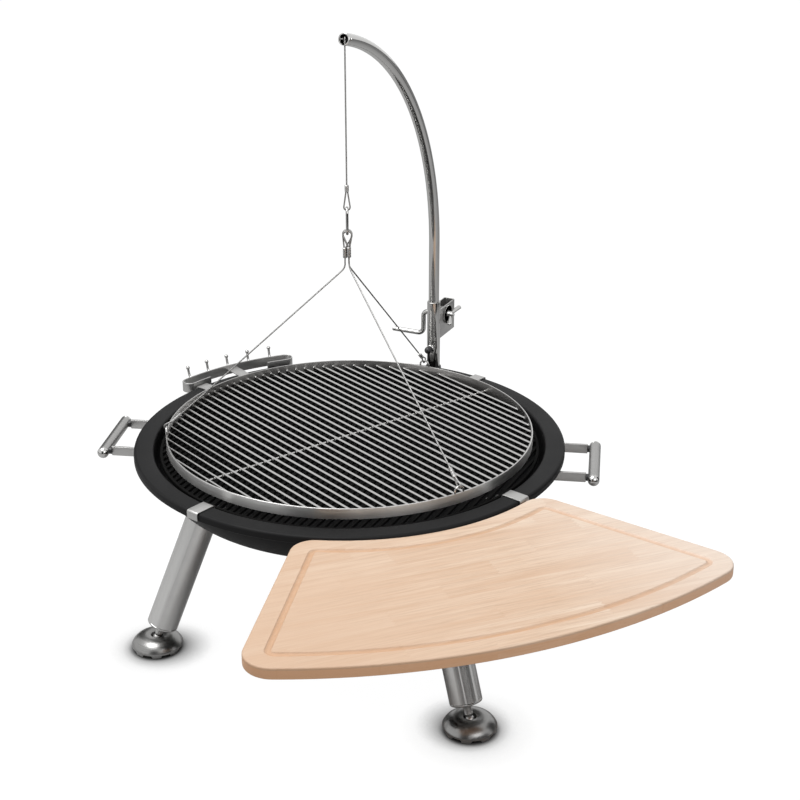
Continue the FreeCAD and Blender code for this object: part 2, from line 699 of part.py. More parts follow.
def cable_leaves_drum():
    """Where the cable leaves the second layer on the drum, on its way to the slot in the tube."""
    entry = Vector(0, POST_RADIUS + ROLLER_TRACK, CABLE_ENTRY)
    run = entry - WINCH
    angle = math.atan2(run.z, run.y) + math.acos(second_layer() / run.Length)
    return WINCH + Vector(0, math.cos(angle), math.sin(angle)) * second_layer(), entry


def cable_slope():
    leave, entry = cable_leaves_drum()
    return (entry.z - leave.z) / (leave.y - entry.y)


def make_cables():
    section = round_section(CABLE_RADIUS)
    leave, entry = cable_leaves_drum()
    track = BEND_RADIUS + ROLLER_TRACK
    rise_end = arm_point(0, track)
    lower = swept([leave, entry, rise_end], CABLE_ENTRY_BEND, section)
    wrap = section(leave, (leave - entry).normalize()).revolve(WINCH, Vector(1, 0, 0), LAYER_WRAP)
    bend = section(rise_end, UP).revolve(BEND_CENTRE, Vector(1, 0, 0), math.degrees(ROLLER_ANGLE))
    over_start = arm_point(ROLLER_ANGLE, track)
    heading = Vector(0, -math.sin(ROLLER_ANGLE), math.cos(ROLLER_ANGLE))
    roller = arm_point(ROLLER_ANGLE)
    over = section(over_start, heading).revolve(roller, Vector(1, 0, 0), 180 - math.degrees(ROLLER_ANGLE))
    nodes["cable_in_arm"] = fused([wrap, lower, bend, over])
    ferrule_top = UP * (HOIST_FERRULE_Z + HOIST_FERRULE)
    nodes["hoist_cable"] = rod(CABLE_RADIUS, ferrule_top, UP * roller.z)


def make_tip_roller():
    centre = arm_point(ROLLER_ANGLE)
    bore = AXLE_DIAMETER / 2 + RUNNING_CLEARANCE
    half = ROLLER_WIDTH / 2

    def at(across, radius):
        return centre + Vector(across, 0, radius)

    edges = [line(at(-half, bore), at(-half, ROLLER_FLANGE)),
             arc(at(-half, ROLLER_FLANGE), at(0, ROLLER_GROOVE - ROLLER_GAP), at(half, ROLLER_FLANGE)),
             line(at(half, ROLLER_FLANGE), at(half, bore)),
             line(at(half, bore), at(-half, bore))]
    nodes["tip_roller"] = spun(edges, centre, Vector(1, 0, 0))
    wall = TUBE_DIAMETER / 2 + SADDLE_CLEARANCE
    pin = rod(AXLE_DIAMETER / 2, at(-wall, 0), at(wall, 0))
    head_radius = AXLE_HEAD_DIAMETER / 2
    heads = [rod(head_radius, at(side * wall, 0), at(side * (wall + AXLE_HEAD), 0)) for side in (-1, 1)]
    nodes["tip_axle"] = fused([pin] + heads)


def make_winch():
    half = HOUSING_WIDTH / 2
    inner_half = half - HOUSING_SHEET
    corner = Vector(-half, POST_RADIUS, HOUSING_BOTTOM)
    outer = Part.makeBox(HOUSING_WIDTH, HOUSING_REACH, HOUSING_HEIGHT, corner)
    upright = [e for e in outer.Edges if e.BoundBox.ZLength > HOUSING_HEIGHT / 2]
    far_edges = [e for e in upright if e.CenterOfMass.y > POST_RADIUS + HOUSING_REACH / 2]
    outer = outer.makeFillet(HOUSING_ROUND, far_edges)
    room = Part.makeBox(2 * inner_half, HOUSING_REACH - HOUSING_SHEET, HOUSING_HEIGHT,
                        Vector(-inner_half, POST_RADIUS, HOUSING_BOTTOM))
    sleeve = rod(SLEEVE_DIAMETER / 2 + SADDLE_CLEARANCE, POST, POST + UP * SLEEVE_TOP)
    side = Vector(half, 0, 0)
    shaft_hole = rod(CRANK_DIAMETER / 2 + RUNNING_CLEARANCE, WINCH - side, WINCH + side)
    nodes["winch_housing"] = outer.cut(room).cut(sleeve).cut(shaft_hole)
    crank = [WINCH + Vector(SHAFT_END, 0, 0),
             WINCH - Vector(CRANK_SIDE, 0, 0),
             WINCH - Vector(CRANK_SIDE, 0, CRANK_THROW),
             WINCH - Vector(CRANK_SIDE + CRANK_GRIP, 0, CRANK_THROW)]
    nodes["crank"] = swept(crank, CRANK_BEND, round_section(CRANK_DIAMETER / 2))
    drum_half = inner_half - DRUM_SIDE_GAP
    core_half = drum_half - DRUM_FLANGE_THICK
    bore = CRANK_DIAMETER / 2 + RUNNING_CLEARANCE

    def at(across, radius):
        return WINCH + Vector(across, 0, radius)

    outline = [at(-drum_half, bore), at(-drum_half, DRUM_FLANGE), at(-core_half, DRUM_FLANGE),
               at(-core_half, DRUM_CORE), at(core_half, DRUM_CORE), at(core_half, DRUM_FLANGE),
               at(drum_half, DRUM_FLANGE), at(drum_half, bore)]
    nodes["cable_drum"] = spun(closed(outline), WINCH, Vector(1, 0, 0))
    nodes["drum_winding"] = winding()


def biarc(start, heading, end, final):
    """Two arcs that leave start along heading and reach end along final."""
    chord = end - start
    both = heading + final
    bend = 2 * (1 - heading.dot(final))
    reach = (math.sqrt(chord.dot(both) ** 2 + bend * chord.dot(chord)) - chord.dot(both)) / bend
    joint = (start + end + (heading - final) * reach) * 0.5
    return [tangent_arc(start, heading, joint), tangent_arc(end, final * -1, joint)]


def tangent_arc(start, heading, end):
    chord = end - start
    along = Vector(chord).normalize()
    lean = heading - along * heading.dot(along)
    angle = heading.getAngle(chord)
    middle = start + chord * 0.5 + lean.normalize() * (chord.Length / 2 * math.tan(angle / 2))
    return arc(start, middle, end)


def winding():
    """The first layer of cable, wound from one flange of the drum to the other."""
    radius = winding_radius()
    quarters = 4 * WINDING_TURNS
    climb = WINDING_PITCH / (2 * math.pi)

    def at(angle):
        return WINCH + Vector(climb * angle, radius * math.cos(angle), radius * math.sin(angle))

    def along(angle):
        return Vector(climb, -radius * math.sin(angle), radius * math.cos(angle)).normalize()

    angles = [math.pi / 2 * (number - quarters / 2) for number in range(quarters + 1)]
    edges = []
    for a, b in zip(angles, angles[1:]):
        edges += biarc(at(a), along(a), at(b), along(b))
    path = Part.Wire(edges)
    samples = path.discretize(Number=WINDING_SAMPLES * WINDING_TURNS + 1)
    print("least gap between turns", round(least_gap(samples), 3))
    profile = Part.Wire(Part.Circle(at(angles[0]), along(angles[0]), CABLE_RADIUS).toShape())
    return path.makePipeShell([profile], True, False)


def least_gap(points):
    """The least gap of the wound cable to itself, between points half a turn or more apart."""
    apart = WINDING_SAMPLES // 2
    pairs = [(a, b) for number, a in enumerate(points) for b in points[number + apart:]]
    return min(a.distanceToPoint(b) for a, b in pairs) - CABLE_DIAMETER


def make_wing_nut():
    base = WINCH + Vector(HOUSING_WIDTH / 2 + NUT_GAP, 0, 0)
    hub = Part.makeCone(NUT_HUB, NUT_TOP, NUT_LENGTH, base, Vector(1, 0, 0))
    bore = rod(CRANK_DIAMETER / 2 + RUNNING_CLEARANCE, base, base + Vector(NUT_LENGTH, 0, 0))
    half = NUT_SPAN / 2
    diagonal = math.sqrt(0.5)
    wings = []
    for side in (-1, 1):
        foot_low = base + Vector(NUT_WING_FOOT, side * CRANK_DIAMETER / 2, 0)
        foot_high = base + Vector(NUT_WING_NECK, side * CRANK_DIAMETER / 2, 0)
        tip_low = base + Vector(NUT_WING_LOW, side * half, 0)
        tip_high = base + Vector(NUT_WING_LENGTH, side * (half - NUT_WING_ROUND), 0)
        bulge = tip_high + Vector((diagonal - 1) * NUT_WING_ROUND, side * diagonal * NUT_WING_ROUND, 0)
        edges = [line(foot_low, tip_low), arc(tip_low, bulge, tip_high), line(tip_high, foot_high),
                 line(foot_high, foot_low)]
        plate = Part.Face(Part.Wire(edges)).extrude(UP * NUT_WING_THICK)
        plate.translate(UP * (-NUT_WING_THICK / 2))
        wings.append(plate)
    flange = rod(NUT_FLANGE / 2, base, base + Vector(NUT_FLANGE_THICK, 0, 0))
    nut = fused([hub, flange] + wings).cut(bore)
    nut.rotate(WINCH, Vector(1, 0, 0), NUT_TURN)
    nodes["wing_nut"] = nut


def make_grate():
    inner = RING_RADIUS - RING_BAND
    seat = Vector(0, 0, RING_BOTTOM)
    ring = Part.makeCylinder(RING_RADIUS, RING_HEIGHT, seat).cut(Part.makeCylinder(inner, RING_HEIGHT, seat))
    nodes["grate_ring"] = ring
    limit = Part.makeCylinder(inner - ROD_END_GAP, RING_HEIGHT, seat)
    level = RING_TOP - ROD_DEPTH
    radius = ROD_DIAMETER / 2
    rods = []
    count = int(inner / ROD_PITCH) - 1
    for number in range(-count, count + 1):
        start = Vector(-inner, number * ROD_PITCH, level)
        rods.append(turned(rod(radius, start, start + Vector(2 * inner, 0, 0)).common(limit), ROD_AZIMUTH))
    nodes["grate_rods"] = Part.makeCompound(rods)
    cross_start = Vector(0, -inner, level - ROD_DIAMETER)
    cross = rod(radius, cross_start, cross_start + Vector(0, 2 * inner, 0)).common(limit)
    nodes["grate_cross_rod"] = turned(cross, ROD_AZIMUTH)
    middle = RING_RADIUS - RING_BAND / 2
    half = BAIL_SPAN / 2
    legs_top = RING_TOP + BAIL_LEG
    section = round_section(BAIL_WIRE / 2)
    bow_centre = Vector(middle, 0, legs_top)
    pieces = [section(Vector(middle, half, RING_TOP), UP).extrude(UP * BAIL_LEG),
              section(Vector(middle, half, legs_top), UP).revolve(bow_centre, Vector(1, 0, 0), 180),
              section(Vector(middle, -half, RING_TOP), UP).extrude(UP * BAIL_LEG)]
    bail = fused(pieces)
    nodes["grate_bails"] = Part.makeCompound([turned(bail, azimuth) for azimuth in BAIL_AZIMUTHS])


def make_slings():
    apex_height = RING_TOP + BAIL_LEG + BAIL_SPAN / 2
    low_rest = BAIL_WIRE / 2 + CABLE_RADIUS + EYE_GAP
    half_gap = CABLE_RADIUS + SADDLE_CLEARANCE
    rest_radius = HOOK_HALF_WIDTH - WIRE_REST
    ferrules = []
    for number, azimuth in enumerate(BAIL_AZIMUTHS, 1):
        outward = polar(1, azimuth, 0)
        across = SLING_SPREAD * outward.dot(HOOK_ACROSS)
        along = SLING_STEP * round(outward.dot(HOOK_ALONG))
        top = HOOK_ACROSS * across + HOOK_ALONG * along
        lift = rest_radius - math.sqrt(rest_radius ** 2 - along ** 2)
        low = top + UP * (SLING_FERRULE_Z + lift)
        high = low + UP * SLING_FERRULE
        ferrules.append(rod(FERRULE_DIAMETER / 2, low, high))
        apex = polar(RING_RADIUS - RING_BAND / 2, azimuth, apex_height)
        corner = low - UP * (SLING_TAIL + SLING_BEND * math.tan(math.radians(30)))
        pull = (corner - apex).normalize()
        side = UP.cross(outward).cross(pull).normalize()
        low_centre = apex + pull * (LOW_EYE_RADIUS - low_rest)
        low_start = low_centre + pull * (LOW_EYE_LENGTH + SADDLE_CLEARANCE)
        low_end = low_start + pull * LOW_FERRULE
        ferrules.append(rod(FERRULE_DIAMETER / 2, low_start, low_end))
        run = swept([low_end, corner, low], SLING_BEND, round_section(CABLE_RADIUS))
        low_eye = teardrop(low_centre, pull, side, LOW_EYE_RADIUS, LOW_EYE_LENGTH - EYE_GAP, half_gap)
        eye_centre = Vector(HOOK_ALONG * along) + UP * (SLING_APEX_Z + lift - SLING_EYE_RADIUS)
        eye_down = high - eye_centre
        high_eye = teardrop(eye_centre, eye_down, HOOK_ACROSS, SLING_EYE_RADIUS, eye_down.Length, half_gap)
        high_eye = high_eye.cut(rod(FERRULE_DIAMETER, low, high + UP * SADDLE_CLEARANCE))
        nodes[f"sling_cable_{number}"] = Part.makeCompound([run, low_eye, high_eye])
    nodes["sling_ferrules"] = Part.makeCompound(ferrules)


def make_snap_hook():
    section = round_section(HOOK_WIRE / 2)
    half = HOOK_ALONG * HOOK_HALF_WIDTH
    low = UP * (HOOK_BOTTOM_Z + HOOK_HALF_WIDTH)
    high = UP * (HOOK_TOP_Z - HOOK_HALF_WIDTH)
    middle = (low + high) * 0.5
    gate_low = half + middle - UP * (GATE_LENGTH / 2)
    gate_high = half + middle + UP * (GATE_LENGTH / 2)
    pieces = [section(gate_high, UP).extrude(half + high - gate_high),
              section(half + high, UP).revolve(high, HOOK_ACROSS, 180),
              section(high - half, UP * -1).extrude(low - high),
              section(low - half, UP * -1).revolve(low, HOOK_ACROSS, 180),
              section(low + half, UP).extrude(gate_low - low - half)]
    pivot = gate_low - UP * (GATE_EAR / 2)
    hook = fused(pieces)
    slot = Part.makeBox(GATE_SLOT, 2 * HOOK_WIRE, GATE_EAR + HOOK_WIRE,
                        Vector(-GATE_SLOT / 2, -HOOK_WIRE, -GATE_EAR))
    slot.rotate(Vector(0, 0, 0), UP, HOOK_TURN)
    slot.translate(pivot)
    ear = HOOK_ACROSS * (HOOK_WIRE / 2)
    pin_hole = rod(GATE_PIN / 2, pivot - ear, pivot + ear)
    nodes["snap_hook"] = hook.cut(slot).cut(pin_hole)
    nodes["gate_pin"] = pin_hole
    tongue_radius = GATE_DIAMETER / 2
    tongue_half = HOOK_ACROSS * (GATE_TONGUE / 2)
    tongue_end = rod(tongue_radius, pivot - tongue_half, pivot + tongue_half)
    neck = Part.makeBox(GATE_TONGUE, GATE_DIAMETER, GATE_EAR, Vector(-GATE_TONGUE / 2, -tongue_radius, 0))
    neck.rotate(Vector(0, 0, 0), UP, HOOK_TURN)
    neck.translate(pivot)
    bar_low = pivot + UP * GATE_EAR
    bar = rod(tongue_radius, bar_low, gate_high - UP * GATE_TIP_GAP)
    bore = rod(GATE_PIN / 2 + GATE_PIN_CLEARANCE, pivot - tongue_half, pivot + tongue_half)
    nodes["hook_gate"] = fused([tongue_end, neck, bar]).cut(bore)
    print("gate pivot", [round(v, 3) for v in pivot])


def make_hoist_eye():
    centre = Vector(0, 0, HOIST_EYE_Z)
    half_gap = CABLE_RADIUS + SADDLE_CLEARANCE
    length = HOIST_EYE_LENGTH - EYE_GAP
    nodes["hoist_eye"] = teardrop(centre, UP, HOOK_ACROSS, HOIST_EYE_RADIUS, length, half_gap)
    foot = Vector(0, 0, HOIST_FERRULE_Z)
    nodes["hoist_ferrule"] = rod(FERRULE_DIAMETER / 2, foot, foot + UP * HOIST_FERRULE)


def board_blank(inset, outer_corner, inner_corner):
    """The board's plan, or a line inside it, as a slab that lies along +X from the bowl's axis."""
    angle = math.radians(BOARD_SLOPE)
    apex = BOARD_APEX + inset / math.sin(angle)
    inner = BOARD_INNER + inset
    outer = BOARD_OUTER_RADIUS - inset
    far = 2 * BOARD_REACH
    spread = (far - apex) * math.tan(angle)
    wedge = [Vector(apex, 0, 0), Vector(far, spread, 0), Vector(far, -spread, 0)]
    sector = Part.Face(Part.makePolygon(wedge + wedge[:1])).extrude(UP * BOARD_THICK)
    outer_disc = Part.makeCylinder(outer, BOARD_THICK, Vector(BOARD_REACH - BOARD_OUTER_RADIUS, 0, 0))
    slab = sector.common(outer_disc).cut(Part.makeCylinder(inner, BOARD_THICK))
    halfway = (BOARD_INNER + BOARD_REACH) / 2
    slab = slab.makeFillet(outer_corner, [e for e in upright_edges(slab) if plan_radius(e) > halfway])
    near = [e for e in upright_edges(slab) if plan_radius(e) < inner + inner_corner]
    return slab.makeFillet(inner_corner, near)


def plan_radius(edge):
    return math.hypot(edge.CenterOfMass.x, edge.CenterOfMass.y)


def upright_edges(shape):
    return [e for e in shape.Edges if e.BoundBox.ZLength > BOARD_THICK / 2]


def make_board():
    blank = board_blank(0, BOARD_OUTER_CORNER, BOARD_INNER_CORNER)
    flat_edges = [e for e in blank.Edges if e.BoundBox.ZLength < BOARD_ROUND / 2]
    board = blank.makeFillet(BOARD_ROUND, flat_edges)
    board = board.cut(groove_tool(board_blank(GROOVE_INSET, GROOVE_CORNER, GROOVE_CORNER)))
    arm_floor = BOARD_TOP - BOARD_THICK - BOARD_ARM_THICK
    arms = []
    screws = []
    holes = []
    receivers = []
    board.translate(UP * (BOARD_TOP - BOARD_THICK))
    for side in (-1, 1):
        middle = side * BOARD_ARM_OFFSET
        corner = Vector(BOARD_ARM_START, middle - BOARD_ARM_WIDTH / 2, arm_floor)
        arm = Part.makeBox(BOARD_ARM_END - BOARD_ARM_START, BOARD_ARM_WIDTH, BOARD_ARM_THICK, corner)
        for inset in SCREW_INSETS:
            place = BOARD_INNER + inset
            head_low = Vector(place, middle, arm_floor - SCREW_HEAD_HEIGHT)
            seat = Vector(place, middle, arm_floor)
            shank_end = Vector(place, middle, arm_floor + BOARD_ARM_THICK + SCREW_DEPTH)
            hole = rod(SCREW_SHANK / 2 + SCREW_CLEARANCE, seat, shank_end)
            screws.append(fused([rod(SCREW_HEAD / 2, head_low, seat), rod(SCREW_SHANK / 2, seat, shank_end)]))
            holes.append(hole)
            arm = arm.cut(hole)
        arms.append(arm)
        receivers.append(receiver(middle, arm_floor))
    board = board.cut(Part.makeCompound(holes))
    nodes["side_board"] = turned(board, BOARD_AZIMUTH)
    nodes["board_arms"] = turned(Part.makeCompound(arms), BOARD_AZIMUTH)
    nodes["board_screws"] = turned(Part.makeCompound(screws), BOARD_AZIMUTH)
    return turned(Part.makeCompound(receivers), BOARD_AZIMUTH)


def groove_tool(slab):
    """A round cutter drawn along the edge of the slab's top face, set to the groove's depth."""
    top_face = [f for f in slab.Faces if f.CenterOfMass.z > BOARD_THICK - BOARD_ROUND][0]
    lift = UP * (GROOVE_RADIUS - GROOVE_DEPTH)
    section = round_section(GROOVE_RADIUS)
    pieces = []
    for edge in top_face.OuterWire.OrderedEdges:
        first = edge.FirstParameter
        last = edge.LastParameter
        start = edge.valueAt(first) + lift
        face = section(start, edge.tangentAt(first))
        if isinstance(edge.Curve, Part.Circle):
            sweep = math.degrees(last - first)
            pieces.append(face.revolve(edge.Curve.Center + lift, edge.Curve.Axis, sweep))
        else:
            pieces.append(face.extrude(edge.valueAt(last) + lift - start))
    return fused(pieces)


def receiver(middle, arm_floor):
    gap = RECEIVER_CLEARANCE
    width = BOARD_ARM_WIDTH + 2 * (gap + RECEIVER_WALL)
    depth = BOARD_ARM_THICK + 2 * (gap + RECEIVER_WALL)
    outer = Part.makeBox(RECEIVER_END, width, depth,
                         Vector(0, middle - width / 2, arm_floor - gap - RECEIVER_WALL))
    room = Part.makeBox(RECEIVER_END, BOARD_ARM_WIDTH + 2 * gap, BOARD_ARM_THICK + 2 * gap,
                        Vector(0, middle - BOARD_ARM_WIDTH / 2 - gap, arm_floor - gap))
    return outer.cut(room)


def make_rail():
    middle = RAIL_BOTTOM + RAIL_HEIGHT / 2
    section = flat_section(UP, RAIL_HEIGHT, RAIL_THICK)
    origin = Vector(0, 0, middle)
    bend_middle = (RAIL_BACK + RAIL_FRONT) / 2

    def tangent(azimuth):
        return polar(1, azimuth + 90, 0)

    def piece(radius, start, sweep):
        return section(polar(radius, start, middle), tangent(start)).revolve(origin, UP, sweep)

    def turn(azimuth):
        face = section(polar(RAIL_FRONT, azimuth, middle), tangent(azimuth))
        way = 180 if azimuth < 0 else -180
        return face.revolve(polar(bend_middle, azimuth, middle), UP, way)

    half = RAIL_HALF_ANGLE
    band = fused([piece(RAIL_BACK, -half, 2 * half), piece(RAIL_FRONT, -half, RAIL_RETURN_ANGLE),
                  piece(RAIL_FRONT, half - RAIL_RETURN_ANGLE, RAIL_RETURN_ANGLE), turn(-half), turn(half)])
    nodes["rail_band"] = turned(band, RAIL_AZIMUTH)
    level = RIM_HEIGHT + STRAP_THICK / 2
    inside = WALL_INNER - STRAP_SIDE_GAP - STRAP_THICK / 2
    outer = math.sqrt((RAIL_BACK - RAIL_THICK / 2) ** 2 - (RAIL_STRAP_WIDTH / 2) ** 2) - SADDLE_CLEARANCE
    points = [bowl_point(outer, level), bowl_point(inside, level),
              bowl_point(inside, RIM_HEIGHT - RAIL_STRAP_DROP)]
    strap = swept(points, STRAP_BEND, flat_section(Vector(0, 1, 0), RAIL_STRAP_WIDTH, STRAP_THICK))
    nodes["rail_strap"] = turned(strap, RAIL_AZIMUTH)
    root = bowl_point(RAIL_BACK, RAIL_BOTTOM + RAIL_HOOK_ROOT)
    knee = root + Vector(RAIL_HOOK_KNEE[0], 0, RAIL_HOOK_KNEE[1])
    tip = root + Vector(RAIL_HOOK_TIP[0], 0, RAIL_HOOK_TIP[1])
    wire = swept([root, knee, tip], RAIL_HOOK_BEND, round_section(RAIL_HOOK_WIRE / 2))
    band_outside = Part.makeCylinder(RAIL_BACK + RAIL_THICK / 2 + SADDLE_CLEARANCE, RAIL_BOTTOM + RAIL_HEIGHT)
    hook = fused([wire.cut(band_outside), Part.makeSphere(RAIL_HOOK_BALL / 2, tip)])
    first = RAIL_AZIMUTH - RAIL_HOOK_STEP * (RAIL_HOOKS - 1) / 2
    nodes["rail_hooks"] = Part.makeCompound(
        [turned(hook, first + RAIL_HOOK_STEP * number) for number in range(RAIL_HOOKS)])


def main():
    body = bowl_body()
    nodes["fire_bowl"] = fire_bowl()
    make_legs(body)
    make_handles(body)
    make_hangers()
    make_charcoal_grate()
    make_post_and_sleeve()
    make_arm_tube()
    make_cables()
    make_tip_roller()
    make_winch()
    make_wing_nut()
    make_grate()
    make_slings()
    make_snap_hook()
    make_hoist_eye()
    nodes["board_receivers"] = make_board().cut(body)
    make_rail()
    os.makedirs("parts", exist_ok=True)
    for name, shape in nodes.items():
        shape.exportStep(f"parts/{name}.step")


main()
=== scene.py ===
import math

import bmesh
import bpy
from bpy.props import FloatProperty, FloatVectorProperty, IntProperty, PointerProperty
from mathutils import Matrix, Vector


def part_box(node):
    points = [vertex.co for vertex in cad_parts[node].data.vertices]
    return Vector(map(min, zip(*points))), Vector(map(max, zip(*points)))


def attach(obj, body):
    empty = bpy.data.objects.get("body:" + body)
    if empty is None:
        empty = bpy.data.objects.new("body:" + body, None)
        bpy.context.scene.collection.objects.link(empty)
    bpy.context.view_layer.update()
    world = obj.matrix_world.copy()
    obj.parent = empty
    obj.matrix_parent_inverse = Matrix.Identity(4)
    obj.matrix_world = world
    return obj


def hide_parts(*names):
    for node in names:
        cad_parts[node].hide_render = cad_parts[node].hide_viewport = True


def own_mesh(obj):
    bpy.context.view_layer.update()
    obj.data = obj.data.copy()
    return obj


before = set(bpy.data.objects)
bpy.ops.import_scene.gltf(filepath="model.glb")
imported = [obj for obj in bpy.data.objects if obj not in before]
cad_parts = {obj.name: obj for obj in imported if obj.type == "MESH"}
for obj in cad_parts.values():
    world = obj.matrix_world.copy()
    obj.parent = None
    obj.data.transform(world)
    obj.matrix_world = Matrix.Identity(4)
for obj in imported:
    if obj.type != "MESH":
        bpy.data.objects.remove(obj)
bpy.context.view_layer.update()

bl_info = {
    "name": "Swivel grill",
    "version": (1, 0, 0),
    "blender": (4, 5, 0),
    "location": "View3D > Sidebar > Grill",
    "description": "Dresses the packed swivel grill and sets it on a pale studio floor",
    "category": "Object",
}

ORIGIN = Vector((0, 0, 0))
UP = Vector((0, 0, 1))
ALONG_X = Vector((1, 0, 0))
ALONG_Y = Vector((0, 1, 0))
QUARTER = math.pi / 2
GRAIN = "grain"
MERGE = 2e-6
POLE = 1e-9
DRUM_CORE = 0.012
ARM_SLOT = (0.6085, 0.65)


# Sizes and colours that a user would change


def length(name, default, description):
    return FloatProperty(name=name, description=description, default=default, precision=5, unit="LENGTH")


def angle(name, degrees, description):
    return FloatProperty(name=name, description=description, default=math.radians(degrees), subtype="ANGLE",
                         unit="ROTATION")


def colour(name, default, description):
    return FloatVectorProperty(name=name, description=description, default=default, subtype="COLOR", size=3,
                               min=0.0, max=1.0)


def level(name, default, description):
    return FloatProperty(name=name, description=description, default=default, subtype="FACTOR", min=0.0,
                         max=1.0)


def amount(name, default, description, unit="NONE"):
    return FloatProperty(name=name, description=description, default=default, unit=unit)


def whole(name, default, description, least):
    return IntProperty(name=name, description=description, default=default, min=least)


class BowlSizes(bpy.types.PropertyGroup):
    rim_radius: length("Rim radius", 0.4, "Radius of the outer edge of the flange")
    rim_height: length("Rim height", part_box("fire_bowl")[1].z, "Height of the flange above the floor")
    flange: length("Flange width", 0.037, "Width of the flat flange")
    sheet: length("Sheet", 0.003, "Thickness of the pressed sheet")
    lip: length("Lip depth", 0.014, "Depth of the edge that is turned down")
    lip_bend: length("Lip bend", 0.003, "Inner radius of the bend at the lip")
    mouth_bend: length("Mouth bend", 0.002, "Inner radius of the bend at the mouth")
    wall: length("Straight wall", 0.01, "Straight part of the wall below the flange")
    knuckle: length("Knuckle radius", 0.085, "Outer radius between the wall and the bottom")
    crown: length("Crown radius", 0.64, "Outer radius of the bottom")


class StandSizes(bpy.types.PropertyGroup):
    foot_circle: length("Foot circle", 0.381, "Radius of the circle that the feet stand on")
    lean: angle("Leg lean", 21, "Lean of the legs")
    leg_radius: length("Leg radius", 0.03, "Outer radius of the leg tubes")
    leg_wall: length("Leg wall", 0.002, "Wall of the leg tubes")
    ball_height: length("Ball height", 0.02, "Height of the ball of each foot")
    leg_end: length("Leg end", 0.032, "Distance from the ball to the leg's plug")
    plug_cap: length("Plug cap", 0.005, "Thickness of the cap that closes a leg")
    foot_radius: length("Foot radius", 0.0495, "Radius of the domed foot")
    handle_angle: angle("Handle direction", 17.5, "Direction of the right handle")
    handle_reach: length("Handle reach", 0.455, "Distance from the bowl's axis to a grip")
    handle_spacing: length("Handle spacing", 0.125, "Distance between the two arms of a handle")
    grip_radius: length("Grip radius", 0.0105, "Radius of a grip")
    grip_length: length("Grip length", 0.146, "Length of a grip between its caps")


class ArmSizes(bpy.types.PropertyGroup):
    post: length("Post distance", 0.383, "Distance from the bowl's axis to the post")
    sleeve_radius: length("Sleeve radius", 0.01345, "Outer radius of the sleeve")
    bore_radius: length("Sleeve bore", 0.0108, "Inner radius of the sleeve")
    tube_radius: length("Tube radius", 0.01065, "Outer radius of the bent tube")
    tube_wall: length("Tube wall", 0.002, "Wall of the bent tube")
    bend_start: length("Bend start", 0.7, "Height at which the tube starts to bend")
    bend_radius: length("Bend radius", 0.48, "Radius of the tube's bend")
    overhang: length("Tip overhang", 0.004, "How far the tip reaches past the bowl's axis")
    cable_radius: length("Cable radius", 0.0015, "Radius of the steel cable")
    track: length("Roller track", 0.0055, "Radius of the cable's middle on the tip roller")
    winch_offset: length("Winch offset", 0.041, "Distance from the post to the winch axle")
    winch_height: length("Winch height", 0.541, "Height of the winch axle")
    crank_radius: length("Crank radius", 0.005, "Radius of the crank rod")
    strands: whole("Strands", 6, "Strands in the steel cable", 3)
    lay: length("Lay", 0.014, "Length in which a strand goes once round the cable")


class GrateSizes(bpy.types.PropertyGroup):
    ring_radius: length("Ring radius", 0.34, "Outer radius of the grate's ring")
    ring_band: length("Ring band", 0.003, "Thickness of the grate's ring")
    rod_radius: length("Rod radius", 0.0025, "Radius of the grate's rods")
    rod_pitch: length("Rod pitch", 0.0176, "Distance between neighbouring rods")
    rods: whole("Rods", 37, "Number of parallel rods", 3)
    rod_angle: angle("Rod direction", -26, "Direction of the rods")
    bail_wire: length("Bail wire", 0.00175, "Radius of the wire bails on the ring")
    coal_ring: length("Charcoal ring", 0.352, "Outer radius of the charcoal grate's ring")
    coal_pitch: length("Bar pitch", 0.014, "Distance between neighbouring charcoal bars")
    coal_bars: whole("Bars", 49, "Number of charcoal bars", 3)
    hook_turn: angle("Hook turn", 27, "Direction across the snap hook")


class BoardSizes(bpy.types.PropertyGroup):
    direction: angle("Board direction", 316.9, "Direction of the side board")
    inner: length("Inner radius", 0.405, "Radius of the edge next to the bowl")
    reach: length("Reach", 0.775, "Distance from the bowl's axis to the outer edge")
    outer: length("Outer radius", 1.0, "Radius of the outer edge")
    slope: angle("Side slope", 31.2, "Angle of each side to the middle line")
    apex: length("Side apex", -0.025, "Where the two sides would meet")
    outer_corner: length("Outer corner", 0.047, "Radius of the outer corners")
    inner_corner: length("Inner corner", 0.04, "Radius of the inner corners")
    edge: length("Edge round", 0.003, "Rounding of the edges")
    groove_inset: length("Groove inset", 0.037, "Distance from the edge to the juice groove")
    groove_corner: length("Groove corner", 0.012, "Radius of the groove's corners")
    groove_radius: length("Groove radius", 0.007, "Radius of the groove's section")
    groove_depth: length("Groove depth", 0.003, "Depth of the groove")
    rail_direction: angle("Rail direction", 151, "Direction of the utensil rail")
    rail_half: angle("Rail half angle", 15.5, "Half of the angle that the rail spans")
    rail_hooks: whole("Hooks", 5, "Hooks on the utensil rail", 1)
    rail_step: angle("Hook step", 6.1, "Angle between neighbouring hooks")


